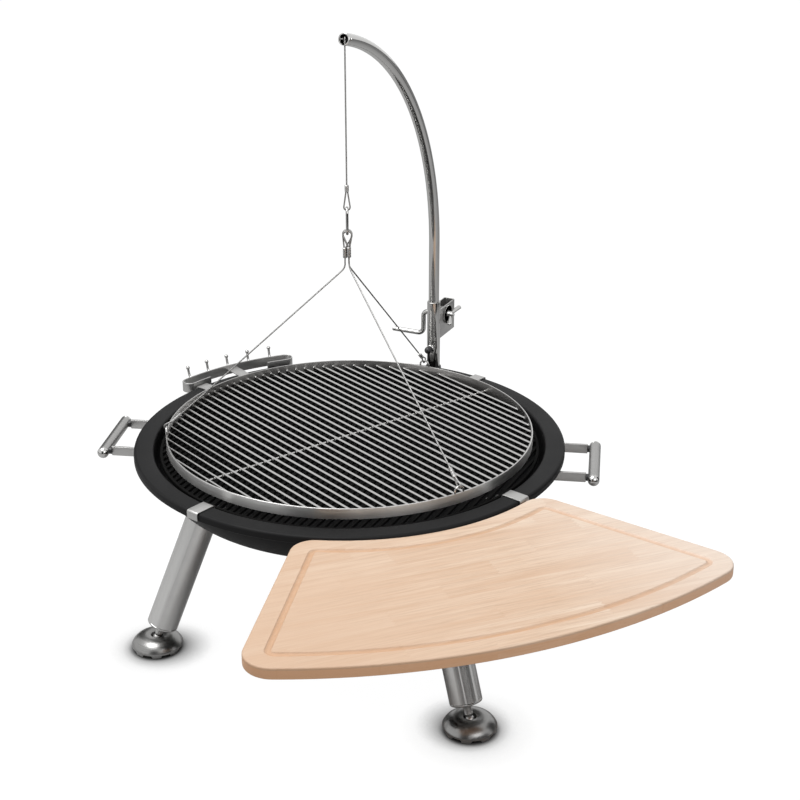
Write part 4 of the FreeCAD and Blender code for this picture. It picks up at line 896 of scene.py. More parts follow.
def cable(name, lines, body, node):
    """Puts steel cable along smooth lines, each given by the points of its control line."""
    arm = bpy.context.scene.grill_arm
    curve = bpy.data.curves.new(name, "CURVE")
    curve.dimensions = "3D"
    curve.resolution_u = 8
    for points in lines:
        spline = curve.splines.new("NURBS")
        spline.points.add(len(points) - 1)
        for knot, point in zip(spline.points, points):
            knot.co = (*point, 1.0)
        spline.order_u = 3
        spline.use_endpoint_u = True
    return put_grown(name, curve, steel_cable, body, "drawn_wire", "cable_steel", node,
                     Radius=arm.cable_radius, Strands=arm.strands, Lay=arm.lay, Step=0.0015)


def control_arc(centre, first, second, radius, start, end, count):
    """Control points for a smooth arc about centre, in the plane of first and second."""
    half_step = (end - start) / count / 2

    def point(turn, reach):
        return centre + (first * math.cos(turn) + second * math.sin(turn)) * reach

    turns = [start + (2 * number + 1) * half_step for number in range(count)]
    middle = [point(turn, radius / math.cos(half_step)) for turn in turns]
    return [point(start, radius)] + middle + [point(end, radius)]


def cable_eye(centre, towards, side, radius, reach, half_gap):
    """Control points of an eye about centre, whose two legs run to a ferrule that lies towards."""
    towards = towards.normalized()
    side = (side - towards * side.dot(towards)).normalized()
    leave = math.atan2(half_gap, reach) + math.acos(radius / math.hypot(reach, half_gap))
    start = centre + towards * reach + side * half_gap
    end = centre + towards * reach - side * half_gap
    return [start] + control_arc(centre, towards, side, radius, leave, 2 * math.pi - leave, 8) + [end]


def ferrule(low, high, radius):
    """A pressed sleeve with the shallow grooves of its press."""
    run = high - low
    total = run.length
    ease, bite = 0.0008, 0.0002
    outline = [(radius - ease, 0), (radius, ease)]
    for number in range(1, 4):
        middle = total * number / 4
        outline += [(radius, middle - total * 0.07), (radius - bite, middle - total * 0.04),
                    (radius - bite, middle + total * 0.04), (radius, middle + total * 0.07)]
    outline += [(radius, total - ease), (radius - ease, total)]
    return revolved([(0, 0)] + outline + [(0, total)], low, run, 32)


# The bowl's outside, for fitting what is welded to it


def bowl_centres():
    bowl = bpy.context.scene.grill_bowl
    wall = bowl.rim_radius - bowl.flange + bowl.sheet
    knuckle = (wall - bowl.knuckle, bowl.rim_height - bowl.wall)
    reach = bowl.crown - bowl.knuckle
    crown = (0.0, knuckle[1] + math.sqrt(reach ** 2 - knuckle[0] ** 2))
    return knuckle, crown, math.degrees(math.asin(knuckle[0] / reach))


def bowl_gap(point):
    """How far a point lies outside the bowl's outer face."""
    bowl = bpy.context.scene.grill_bowl
    knuckle, crown, meet = bowl_centres()
    radius = math.hypot(point.x, point.y)
    if point.z > knuckle[1]:
        return radius - knuckle[0] - bowl.knuckle
    if math.degrees(math.atan2(radius, crown[1] - point.z)) < meet:
        return math.hypot(radius, point.z - crown[1]) - bowl.crown
    return math.hypot(radius - knuckle[0], point.z - knuckle[1]) - bowl.knuckle


def to_bowl(start, heading, far):
    """Where a line from outside meets the bowl, at most far along its heading."""
    low, high = 0.0, far
    for _ in range(40):
        middle = (low + high) / 2
        if bowl_gap(start + heading * middle) > 0:
            low = middle
        else:
            high = middle
    return start + heading * high


# Pieces


class GRILL_OT_fire_bowl(bpy.types.Operator):
    """Makes the fire bowl with its rolled flange"""
    bl_idname = "grill.fire_bowl"
    bl_label = "Fire bowl"

    def execute(self, context):
        bowl = context.scene.grill_bowl
        knuckle, crown, meet = bowl_centres()
        rim, top, sheet = bowl.rim_radius, bowl.rim_height, bowl.sheet
        under = top - sheet
        mouth = (rim - bowl.flange + sheet + bowl.mouth_bend, under - bowl.mouth_bend)
        lip = (rim - sheet - bowl.lip_bend, under - bowl.lip_bend)
        foot = top - bowl.lip
        edge = 0.001
        profile = profile_arc(crown, bowl.crown, 0, meet, 30)
        profile += profile_arc(knuckle, bowl.knuckle, meet, 90, 18)[1:]
        profile += profile_arc(mouth, bowl.mouth_bend, -90, -180, 5)
        profile += profile_arc(lip, bowl.lip_bend, 180, 90, 6)
        profile += [(rim - sheet, foot + edge), (rim - sheet + edge, foot)]
        profile += [(rim - edge, foot), (rim, foot + edge)]
        profile += profile_arc(lip, bowl.lip_bend + sheet, 90, 180, 9)
        profile += profile_arc(mouth, bowl.mouth_bend + sheet, -180, -90, 8)
        profile += profile_arc(knuckle, bowl.knuckle - sheet, 90, meet, 18)
        profile += profile_arc(crown, bowl.crown - sheet, meet, 0, 30)[1:]
        mesh = revolved(profile, ORIGIN, UP, 192)
        put("fire_bowl_shell", mesh, "stand", "powder_coat", "bowl_paint", "fire_bowl")
        return {"FINISHED"}


def leg_axis():
    lean = bpy.context.scene.grill_stand.lean
    return Vector((-math.sin(lean), 0, math.cos(lean)))


def put_at_legs(*parts):
    """Puts meshes that are made for a leg along +X at each of the three legs."""
    for number, degrees in enumerate((90, 210, 330), 1):
        for name, mesh, body, look, slot, node in parts:
            put(f"{name}_{number}", turned_mesh(mesh, math.radians(degrees)), body.format(number), look, slot,
                f"{node}_{number}")


class GRILL_OT_legs(bpy.types.Operator):
    """Makes the three leg tubes, coped and welded to the bowl, and their plugs"""
    bl_idname = "grill.legs"
    bl_label = "Legs"

    def execute(self, context):
        stand = context.scene.grill_stand
        axis = leg_axis()
        ball = Vector((stand.foot_circle, 0, stand.ball_height))
        cap = ball + axis * stand.leg_end
        foot = cap + axis * stand.plug_cap
        radius, far, steps, ease = stand.leg_radius, 0.42, 12, 0.0006
        rays = spokes(ALONG_Y.cross(axis), ALONG_Y, 96)
        outer = [foot + ray * radius for ray in rays]
        inner = [foot + ray * (radius - stand.leg_wall) for ray in rays]
        outer_top = [to_bowl(point, axis, far) for point in outer]
        inner_top = [to_bowl(point, axis, far) for point in inner]
        rows = [[foot + ray * (radius - ease) for ray in rays]]
        for number in range(steps + 1):
            lift = ORIGIN if number else axis * ease
            rows.append([low.lerp(high, number / steps) + lift for low, high in zip(outer, outer_top)])
        tube = shell(rows + [inner_top, inner], loop=True)
        bead_radius, ripple = 0.0026, 0.0003
        bead_rows = []
        for number, (ray, top) in enumerate(zip(rays, outer_top)):
            size = bead_radius + ripple * math.sin(number * 2.1)
            bead_rows.append([top + ray * offset.x + axis * offset.y for offset in circle(size, 10)])
        bead = shell(bead_rows, loop=True)
        thick, deep, hole = stand.plug_cap, 0.02, 0.0081
        corner, edge, inset = 0.003, 0.0004, 0.0023
        rim = profile_arc((radius - corner, corner), corner, 0, 90, 6)
        plug_outline = [(hole, 0.0), *rim, (radius, thick - edge), (radius - edge, thick),
                        (radius - inset, thick), (radius - inset, deep), (hole, deep)]
        plug = revolved(plug_outline, cap, axis, 72)
        put_at_legs(("leg", tube, "stand", "leg_steel", "brushed_stainless", "leg_tube"),
                    ("leg_weld", bead, "stand", "weld_bead_steel", "brushed_stainless", "leg_tube"),
                    ("leg_end", plug, "stand", "polished_steel", "polished_stainless", "leg_plug"))
        return {"FINISHED"}


class GRILL_OT_feet(bpy.types.Operator):
    """Makes the levelling feet: threaded studs, domes with notched skirts and rubber pads"""
    bl_idname = "grill.feet"
    bl_label = "Feet"

    def dome(self, stand, centre):
        rim = stand.foot_radius
        inside, hem, ease = rim - 0.0035, rim - 0.002, 0.0006
        skirt, steps = 0.001, 160
        notches, notch, notch_top, notch_foot = 8, 0.006, 0.008, 0.011
        rays = spokes(ALONG_X, ALONG_Y, steps)

        def ring(radius, height):
            return [centre + ray * radius + UP * height for ray in rays]

        def foot_line(radius, extra):
            row = []
            for number, ray in enumerate(rays):
                turn = (number / steps * notches) % 1.0 - 0.5
                away = abs(turn) / notches * 2 * math.pi * rim
                cut = min(max((notch_foot - away) / (notch_foot - notch_top), 0.0), 1.0)
                row.append(centre + ray * radius + UP * (skirt + notch * cut + extra))
            return row

        crown = arc_through((rim, 0.011), (0.042, 0.0215), (0.013, 0.028), 24)
        socket = [(0.0123, 0.0279), (0.012, 0.0275), (0.01, 0.0205), (0.0098, 0.02), (0.0098, 0.0102),
                  (0.0, 0.0102)]
        outside = [(hem + 0.0016, 0.0078), (rim - 0.0001, 0.0095)] + crown + socket
        rows = [ring(0.0, 0.008), ring(inside, 0.008), foot_line(inside, 0.0), foot_line(hem - ease, 0.0),
                foot_line(hem, ease)]
        return shell(rows + [ring(*pair) for pair in outside], spun=True)

    def stud(self, ball, axis):
        """The stud with a rolled thread above its ball."""
        radius, globe, top, sides = 0.008, 0.0095, 0.08, 40
        pitch, deep, start, end, per_turn = 0.002, 0.0007, 0.012, 0.046, 6
        rays = spokes(ALONG_Y.cross(axis), ALONG_Y, sides)
        rows = [[ball - axis * globe for _ in rays]]
        for number in range(1, 15):
            lift = globe * -math.cos(math.pi * number / 18)
            wide = globe * math.sin(math.pi * number / 18)
            rows.append([ball + axis * lift + ray * wide for ray in rays])
        for number in range(int((end - start) / pitch * per_turn) + 1):
            height = start + pitch * number / per_turn
            fade = min(number / per_turn, 1.0)
            row = []
            for spoke, ray in enumerate(rays):
                phase = (number / per_turn - spoke / sides) % 1.0
                row.append(ball + axis * height + ray * (radius - deep * fade * abs(2 * phase - 1)))
            rows.append(row)
        rows.append([ball + axis * top + ray * radius for ray in rays])
        return shell(rows + [[ball + axis * top for _ in rays]])

    def execute(self, context):
        stand = context.scene.grill_stand
        centre = Vector((stand.foot_circle, 0, 0))
        dome = self.dome(stand, centre)
        stud = self.stud(centre + UP * stand.ball_height, leg_axis())
        wide, high = stand.foot_radius - 0.0037, 0.0078
        pad_outline = [(0, 0), (wide - 0.0031, 0), (wide - 0.0025, 0.0003), (wide - 0.0002, 0.0024),
                       (wide, 0.003), (wide, high), (0, high)]
        pad = revolved(pad_outline, centre, UP, 96)
        put_at_legs(("foot_dome_shell", dome, "foot_{}", "dome_steel", "polished_stainless", "foot_dome"),
                    ("foot_thread", stud, "foot_{}", "satin_steel", "polished_stainless", "foot_stud"),
                    ("foot_rubber", pad, "foot_{}", "pad_rubber", "black_rubber", "foot_pad"))
        return {"FINISHED"}


class GRILL_OT_handles(bpy.types.Operator):
    """Makes the two carrying handles"""
    bl_idname = "grill.handles"
    bl_label = "Handles"

    def arm(self, place, middle, end):
        section = strip(0.005, 0.018, 0.0009)

        def row(x):
            return [Vector((x, place + point.x, middle + point.y)) for point in section]

        start = [to_bowl(point, -ALONG_X, 0.2) for point in row(end)]
        mesh = shell([start, row(end - 0.0007), shrunk(row(end), 0.0006)], caps=True)
        lay_grain(mesh, ALONG_X)
        return mesh

    def execute(self, context):
        stand = context.scene.grill_stand
        bowl = context.scene.grill_bowl
        gap, half_arm = 0.001, 0.009
        middle = bowl.rim_height - bowl.lip - gap - half_arm
        grip = stand.grip_radius
        end = stand.handle_reach - grip - 0.0035
        half, ease = stand.grip_length / 2, 0.0005
        centre = Vector((stand.handle_reach, 0, middle))
        bar_outline = [(0, -half), (grip - ease, -half), (grip, -half + ease), (grip, half - ease),
                       (grip - ease, half), (0, half)]
        bar = revolved(bar_outline, centre, ALONG_Y, 64)
        rise, cap_end, edge = 0.008, 0.0105, 0.0004
        ball = (grip ** 2 + rise ** 2) / (2 * rise)
        dome_start = math.degrees(math.asin(grip / ball))
        dome = profile_arc((0, cap_end - ball), ball, 180 - dome_start, 180, 12)
        cap_outline = [(0, 0.0), (grip - edge, 0.0), (grip, edge), (grip, 0.0021)] + dome
        arms, caps, spacers = [], [], []
        ring = circle(0.0065, 40)
        for side in (-1, 1):
            place = side * stand.handle_spacing / 2
            arms.append(self.arm(place, middle, end))
            caps.append(revolved(cap_outline, centre + ALONG_Y * side * half, ALONG_Y * side, 48))
            start = [Vector((end, place + ray.x, middle + ray.y)) for ray in ring]
            stop = [Vector((stand.handle_reach - math.sqrt(grip ** 2 - ray.y ** 2), point.y, point.z))
                    for ray, point in zip(ring, start)]
            spacers.append(shell([start, stop], caps=True))
        arms = joined(arms)
        both = (stand.handle_angle, stand.handle_angle + math.pi)
        for name, turn in zip(("right", "left"), both):
            put(f"handle_bars_{name}", turned_mesh(arms, turn), "stand", "satin_steel", "satin_stainless",
                f"handle_arms_{name}")
            put(f"handle_tube_{name}", turned_mesh(bar, turn), "stand", "grip_steel", "brushed_stainless",
                f"handle_grip_{name}")
        for name, meshes, look, slot, node in (
                ("handle_caps", caps, "polished_steel", "polished_stainless", "handle_end_caps"),
                ("handle_rings", spacers, "moulded_plastic", "black_plastic", "handle_spacers")):
            mesh = joined([turned_mesh(mesh, turn) for mesh in meshes for turn in both])
            put(name, mesh, "stand", look, slot, node)
        return {"FINISHED"}


class GRILL_OT_charcoal_grate(bpy.types.Operator):
    """Makes the straps over the rim and the charcoal grate that lies on them"""
    bl_idname = "grill.charcoal_grate"
    bl_label = "Charcoal grate"

    def execute(self, context):
        bowl = context.scene.grill_bowl
        grate = context.scene.grill_grate
        rim, top = bowl.rim_radius, bowl.rim_height
        stand_off, lift = 0.0014, 0.001
        hem, drop, shelf = 0.013, 0.017, 0.034
        outside = rim + stand_off
        inside = rim - bowl.flange - stand_off
        line = [(outside, top - hem), (outside, top + lift), (inside, top + lift), (inside, top - drop),
                (inside - shelf, top - drop)]
        corners = [Vector((x, 0, z)) for x, z in line]
        strap = swept(bent(corners, 0.003, 6), strip(0.025, 0.002, 0.0005), ALONG_Y, 0.0004)
        put_grown("rim_straps", strap, copies_round_the_bowl, "stand", "satin_steel", "satin_stainless",
                  "rim_hangers", Count=4, First=math.radians(75), Step=QUARTER)
        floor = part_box("charcoal_ring")[0].z
        outer, wide, high, half_bar = grate.coal_ring, 0.005, 0.008, 0.0025
        ring = revolved(rectangle(outer - wide, outer, floor, floor + high, 0.0008), ORIGIN, UP, 160)
        put("coal_ring", ring, "stand", "grate_iron", "coal_iron", "charcoal_ring")
        put_grown("coal_bars", bpy.data.meshes.new("coal_bars"), rods_in_a_ring, "stand", "grate_iron",
                  "coal_iron", "charcoal_bars", Count=grate.coal_bars, Pitch=grate.coal_pitch,
                  Reach=outer - wide - 0.0001, Radius=half_bar * math.sqrt(2), Sides=4, Roll=math.pi / 4,
                  Height=floor + high / 2, Turn=QUARTER, Bead=0.003)
        return {"FINISHED"}


class GRILL_OT_post(bpy.types.Operator):
    """Makes the post, its collar, the sleeve of the arm and the clamp screw with its ball knob"""
    bl_idname = "grill.post"
    bl_label = "Post and sleeve"

    def sleeve(self, arm, foot, screw):
        """The sleeve with the boss that the clamp screw runs in."""
        low, high = heights("arm_sleeve")
        wall = rectangle(arm.bore_radius, arm.sleeve_radius, low, high, 0.0008)
        radius, hole, reach, ease = 0.0075, 0.00405, 0.019, 0.0006
        sunk = arm.sleeve_radius - 0.0004
        rays = spokes(ALONG_X, UP, 48)

        def row(size, depth):
            return [screw + ray * size - ALONG_Y * depth for ray in rays]

        root = [screw + ray * radius - ALONG_Y * math.sqrt(sunk ** 2 - (ray.x * radius) ** 2) for ray in rays]
        boss = shell([root, row(radius, reach - ease), row(radius - ease, reach), row(hole, reach),
                      row(hole, 0.0115)], loop=True)
        return sharpened(joined([revolved(wall, foot, UP, 80), boss]))

    def execute(self, context):
        arm = context.scene.grill_arm
        foot = Vector((0, arm.post, 0))
        screw = Vector((0, arm.post, 0.483))
        low, high = heights("pivot_post")
        radius, chamfer = arm.bore_radius - 0.00005, 0.001
        outline = [(0, low), (radius, low), (radius, high - chamfer), (radius - chamfer, high), (0, high)]
        put("post", revolved(outline, foot), "stand", "sleeve_steel", "polished_stainless", "pivot_post")
        low, high = heights("post_collar")
        ring = rectangle(arm.bore_radius, 0.016, low, high, 0.0012, 4)
        put("collar", revolved(ring, foot), "stand", "moulded_plastic", "black_plastic", "post_collar")
        sleeve = self.sleeve(arm, foot, screw)
        put("sleeve", sleeve, "arm", "sleeve_steel", "polished_stainless", "arm_sleeve")
        neck, tip = (arm.post - corner.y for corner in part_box("clamp_screw"))
        thick, ease = 0.004, 0.0006
        rod = revolved([(0, tip), (thick - ease, tip), (thick, tip + ease), (thick, neck), (0, neck)],
                       screw, -ALONG_Y, 40)
        put("clamp_rod", rod, "clamp", "satin_steel", "polished_stainless", "clamp_screw")
        knob, stem = 0.00725, 0.00425
        ball_middle = neck + 0.002 + knob - 0.001
        ball = profile_arc((0, ball_middle), knob, math.degrees(math.asin(stem / knob)), 180, 20)
        outline = [(0, neck), (0.0039, neck), (stem, neck + 0.0004)] + ball
        put("ball_knob", revolved(outline, screw, -ALONG_Y, 48), "clamp", "moulded_plastic", "black_plastic",
            "clamp_knob")
        return {"FINISHED"}


def arm_place(turn, radius):
    """A point at an angle round the centre of the tube's bend."""
    arm = bpy.context.scene.grill_arm
    middle = arm.post - arm.bend_radius
    return Vector((0, middle + radius * math.cos(turn), arm.bend_start + radius * math.sin(turn)))


def roller_turn():
    arm = bpy.context.scene.grill_arm
    return math.acos(1 - (arm.post - arm.track) / arm.bend_radius)


class GRILL_OT_arm(bpy.types.Operator):
    """Makes the bent tube with its open tip, the roller and the roller's axle"""
    bl_idname = "grill.arm"
    bl_label = "Bent arm"

    def tube(self, arm, last):
        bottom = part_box("arm_tube")[0].z
        straight, steps, ease = 8, 110, 0.0005
        path = [Vector((0, arm.post, bottom + (arm.bend_start - bottom) * number / straight))
                for number in range(straight)]
        path += [arm_place(last * number / steps, arm.bend_radius) for number in range(steps + 1)]
        radius, bore = arm.tube_radius, arm.tube_radius - arm.tube_wall
        rows = []
        inner_rows = []
        for number, (point, heading) in enumerate(zip(path, headings(path))):
            rays = spokes(ALONG_X, ALONG_X.cross(heading), 56)
            size = radius - ease if number in (0, len(path) - 1) else radius
            rows.append([point + ray * size for ray in rays])
            inner_rows.append([point + ray * bore for ray in rays])
        rows.insert(1, [point + UP * ease + (point - path[0]).normalized() * ease for point in rows[0]])
        tip_row = moved(rows[-1], rows[-2], ease)
        centre = middle_of(tip_row)
        rows.insert(-1, [point + (point - centre).normalized() * ease for point in tip_row])
        return shell(rows + inner_rows[::-1], loop=True)

    def execute(self, context):
        arm = context.scene.grill_arm
        last = math.acos(1 - (arm.post + arm.overhang) / arm.bend_radius)
        gap = 0.0025
        notch = block((-gap, -0.03, -0.03), (gap, 0.009, 0.0), Matrix.Rotation(last - QUARTER, 3, "X"),
                      arm_place(last, arm.bend_radius))
        slot = block((-gap, arm.post, ARM_SLOT[0]), (gap, arm.post + 0.03, ARM_SLOT[1]))
        piece = carved(new_piece("bent_tube", self.tube(arm, last)), [notch, slot])
        placed(piece, "arm", "tube_steel", "polished_stainless", "arm_tube")
        axle = arm_place(roller_turn(), arm.bend_radius)
        wall = arm.tube_radius + 0.00005
        head, rivet, pin = 0.0015, 0.0035, 0.002
        half_pin = [(pin, wall), (rivet, wall), (rivet, wall + 0.0008), (0.0027, wall + head),
                    (0, wall + head)]
        outline = [(radius, -height) for radius, height in half_pin[::-1]] + half_pin
        axle_pin = revolved(outline, axle, ALONG_X, 40)
        put("roller_pin", axle_pin, "arm", "polished_steel", "polished_stainless", "tip_axle")
        half, flange, groove = 0.004, 0.0058, 0.0037
        bore, edge = 0.00205, 0.0003
        valley = arc_through((-half + edge, flange), (0.0, groove), (half - edge, flange), 10)
        outline = [(bore, -half), (flange - edge, -half), *((y, x) for x, y in valley), (flange - edge, half),
                   (bore, half)]
        wheel = revolved(outline, axle, ALONG_X, 48)
        put("roller_wheel", wheel, "roller", "moulded_plastic", "black_plastic", "tip_roller")
        return {"FINISHED"}


def winch_axle():
    arm = bpy.context.scene.grill_arm
    return Vector((0, arm.post + arm.winch_offset, arm.winch_height))


class GRILL_OT_winch(bpy.types.Operator):
    """Makes the winch: its housing, crank, drum and wing nut"""
    bl_idname = "grill.winch"
    bl_label = "Winch"

    def wing_nut(self, axle, bore):
        """The wing nut, with the disc of the CAD node cut off and made again with a toothed rim."""
        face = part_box("wing_nut")[0].x
        thick, wide = 0.0025, 0.019
        teeth, bite, edge = 40, 0.0008, 0.0003
        nut = dressed("brake_wing", "wing_nut", ALONG_X, 0.0006)
        build = bmesh.new()
        build.from_mesh(nut.data)
        bmesh.ops.bisect_plane(build, geom=build.verts[:] + build.edges[:] + build.faces[:],
                               plane_co=(face + thick, 0, 0), plane_no=ALONG_X, clear_inner=True)
        bmesh.ops.holes_fill(build, edges=build.edges)
        as_mesh(build, nut.data)
        placed(nut, "brake_nut", "polished_steel", "polished_stainless", "wing_nut")
        rays = spokes(ALONG_Y, UP, teeth * 4)
        hub = Vector((face, axle.y, axle.z))

        def row(radius, depth, tooth=bite):
            return [hub + ALONG_X * depth + ray * (radius - (tooth if number % 4 < 2 else 0.0))
                    for number, ray in enumerate(rays)]

        disc = shell([row(bore, 0.0, 0.0), row(wide - edge, 0.0), row(wide, edge), row(wide, thick - 0.0004),
                      row(wide - 0.0004, thick), row(bore, thick, 0.0)], loop=True)
        put("friction_disc", disc, "brake_nut", "satin_steel", "satin_stainless", "wing_nut")

    def execute(self, context):
        arm = context.scene.grill_arm
        axle = winch_axle()
        put_dressed("housing", "winch_housing", UP, 0.0004, "arm", "satin_steel", "satin_stainless")
        near, far, drop = ALONG_X * 0.041, ALONG_X * 0.111, UP * 0.05
        points = [axle + ALONG_X * 0.027, axle - near, axle - near - drop, axle - far - drop]
        crank = swept(bent(points, 0.012, 12), circle(arm.crank_radius, 32), ALONG_Y, 0.001)
        put("crank_rod", crank, "winch", "polished_steel", "polished_stainless", "crank")
        half, core_half, flange = 0.0095, 0.0075, 0.02
        bore = arm.crank_radius + 0.00005
        half_spool = [(DRUM_CORE, core_half), (flange, core_half), (flange, half), (bore, half)]
        spool = eased([(radius, -height) for radius, height in half_spool[::-1]] + half_spool, 0.0005)
        drum = revolved(spool, axle, ALONG_X, 72)
        put("drum", drum, "winch", "moulded_plastic", "black_plastic", "cable_drum")
        self.wing_nut(axle, bore)
        return {"FINISHED"}


class GRILL_OT_cables(bpy.types.Operator):
    """Makes the hoist cable: on the drum, inside the arm, over the roller and down to the hook"""
    bl_idname = "grill.cables"
    bl_label = "Hoist cable"

    def execute(self, context):
        arm = context.scene.grill_arm
        axle = winch_axle()
        first_layer = DRUM_CORE + arm.cable_radius + 0.0001
        turns, pitch, per_turn = 3, 0.0036, 16
        out = first_layer / math.cos(math.pi / per_turn)
        helix = []
        for number in range(turns * per_turn + 1):
            turn = 2 * math.pi * (number / per_turn - turns / 2)
            shift = pitch * turn / (2 * math.pi)
            helix.append(axle + Vector((shift, out * math.cos(turn), out * math.sin(turn))))
        cable("drum_cable", [helix], "winch", "drum_winding")
        layer = first_layer + 2 * arm.cable_radius + 0.00035
        entry = Vector((0, arm.post + arm.track, ARM_SLOT[1]))
        run = entry - axle
        leave = math.atan2(run.z, run.y) + math.acos(layer / run.length)
        wrap = control_arc(axle, ALONG_Y, UP, layer, leave + math.radians(110), leave, 6)
        off = wrap[-1]
        heading = (entry - off).normalized()
        rise = [off + heading * 0.018, entry - heading * 0.035, entry, entry + UP * 0.035]
        over = roller_turn()
        bow = control_arc(arm_place(0, 0), ALONG_Y, UP, arm.bend_radius + arm.track, 0.0, over - 0.03, 9)
        roller = arm_place(over, arm.bend_radius)
        crest = control_arc(roller, ALONG_Y, UP, arm.track, over, math.pi, 5)
        cable("arm_cable", [wrap + rise + bow + crest], "arm", "cable_in_arm")
        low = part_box("hoist_cable")[0].z
        top = roller.z
        piece = cable("hanging_cable", [[UP * top, UP * (top + low) / 2, UP * low]], "arm", "hoist_cable")
        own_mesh(piece)
        return {"FINISHED"}


class GRILL_OT_hanging_grate(bpy.types.Operator):
    """Makes the hanging grate: ring, rods with weld beads, cross rod and wire bails"""
    bl_idname = "grill.hanging_grate"
    bl_label = "Hanging grate"

    def rods(self, grate, name, node, count, pitch, sides, height, turn):
        rods = put_grown(name, bpy.data.meshes.new(name), rods_in_a_ring, "grate", "rod_steel",
                         "polished_stainless", node, Count=count, Pitch=pitch,
                         Reach=grate.ring_radius - grate.ring_band - 0.0001, Radius=grate.rod_radius,
                         Sides=sides, Roll=0.0, Height=height, Turn=turn, Bead=0.0033)
        sharpened(rods.data, 50)

    def execute(self, context):
        grate = context.scene.grill_grate
        low, high = heights("grate_ring")
        outer, band = grate.ring_radius, grate.ring_band
        ring = revolved(rectangle(outer - band, outer, low, high, 0.0009), ORIGIN, UP, 200)
        put("ring_band", ring, "grate", "ring_steel", "polished_stainless", "grate_ring")
        height = sum(heights("grate_rods")) / 2
        self.rods(grate, "rods", "grate_rods", grate.rods, grate.rod_pitch, 14, height, grate.rod_angle)
        self.rods(grate, "under_rod", "grate_cross_rod", 1, 0.01, 16, height - 2 * grate.rod_radius,
                  grate.rod_angle + QUARTER)
        middle = outer - band / 2
        half, leg, steps = 0.009, 0.003, 16
        turns = [math.pi * number / steps for number in range(steps + 1)]
        bow = [Vector((middle, half * math.cos(turn), high + leg + half * math.sin(turn))) for turn in turns]
        bow = [Vector((middle, half, high)), *bow, Vector((middle, -half, high))]
        bail = swept(bow, circle(grate.bail_wire, 16), ALONG_X)
        put_grown("bails", bail, copies_round_the_bowl, "grate", "polished_steel", "polished_stainless",
                  "grate_bails", Count=3, First=QUARTER, Step=math.radians(120))
        return {"FINISHED"}


class GRILL_OT_slings(bpy.types.Operator):
    """Makes the three sling cables with their eyes and ferrules, and the eye of the hoist cable"""
    bl_idname = "grill.slings"
    bl_label = "Slings"

    def execute(self, context):
        arm = context.scene.grill_arm
        grate = context.scene.grill_grate
        ring_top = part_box("grate_ring")[1].z
        across = polar(1.0, grate.hook_turn)
        along = UP.cross(across)
        radius, bead = arm.cable_radius, 0.0038
        half_gap = radius + 0.00005
        hook_bend, hook_wire, clear = 0.0095, 0.0025, 0.0002
        rest_radius = hook_bend - (hook_wire + radius + clear)
        ferrule_low = ring_top + 0.329
        ferrule_long, eye_long, eye_radius = 0.019, 0.022, 0.008
        low_eye_radius, low_eye_long, low_ferrule_long = 0.005, 0.015, 0.02
        apex_height = ring_top + 0.012
        low_rest = grate.bail_wire + radius + clear
        sleeves = []
        for number in (1, 2, 3):
            azimuth = math.radians(120 * number - 30)
            outward = polar(1.0, azimuth)
            step = 0.0042 * round(outward.dot(along))
            top = across * 0.0047 * outward.dot(across) + along * step
            lift = rest_radius - math.sqrt(rest_radius ** 2 - step ** 2)
            low = top + UP * (ferrule_low + lift)
            high = low + UP * ferrule_long
            apex = polar(grate.ring_radius - grate.ring_band / 2, azimuth, apex_height)
            corner = low - UP * (0.004 + 0.026 * math.tan(math.radians(30)))
            pull = (corner - apex).normalized()
            side = UP.cross(outward).cross(pull).normalized()
            low_centre = apex + pull * (low_eye_radius - low_rest)
            low_start = low_centre + pull * (low_eye_long + 0.00005)
            low_end = low_start + pull * low_ferrule_long
            sleeves += [ferrule(low, high, bead), ferrule(low_start, low_end, bead)]
            run = [low_end, low_end + pull * 0.02, corner - pull * 0.02, corner, corner + UP * 0.016, low]
            low_eye = cable_eye(low_centre, pull, side, low_eye_radius, low_eye_long - clear, half_gap)
            eye_centre = along * step + UP * (ferrule_low + ferrule_long + eye_long + lift)
            down = high - eye_centre
            high_eye = cable_eye(eye_centre, down, across, eye_radius, down.length - 0.0004, half_gap)
            cable(f"sling_{number}", [run, low_eye, high_eye], "grate", f"sling_cable_{number}")
        sleeves = sharpened(joined(sleeves))
        put("pressed_sleeves", sleeves, "grate", "satin_steel", "satin_stainless", "sling_ferrules")
        low, high = heights("hoist_ferrule")
        hoist_eye = 0.0055
        centre = UP * (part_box("hoist_eye")[0].z + hoist_eye + radius)
        eye = cable_eye(centre, UP, across, hoist_eye, low - centre.z - clear, half_gap)
        cable("hoist_loop", [eye], "grate", "hoist_eye")
        put("hoist_sleeve", ferrule(UP * low, UP * high, bead), "grate", "satin_steel", "satin_stainless",
            "hoist_ferrule")
        return {"FINISHED"}


class GRILL_OT_snap_hook(bpy.types.Operator):
    """Makes the snap hook, its sprung gate and the gate's pin"""
    bl_idname = "grill.snap_hook"
    bl_label = "Snap hook"

    def execute(self, context):
        for name, node, body, bevel in (("hook_body", "snap_hook", "grate", 0.0003),
                                        ("hook_pin", "gate_pin", "grate", 0.0),
                                        ("hook_latch", "hook_gate", "gate", 0.0003)):
            put_dressed(name, node, UP, bevel, body, "polished_steel", "polished_stainless")
        return {"FINISHED"}


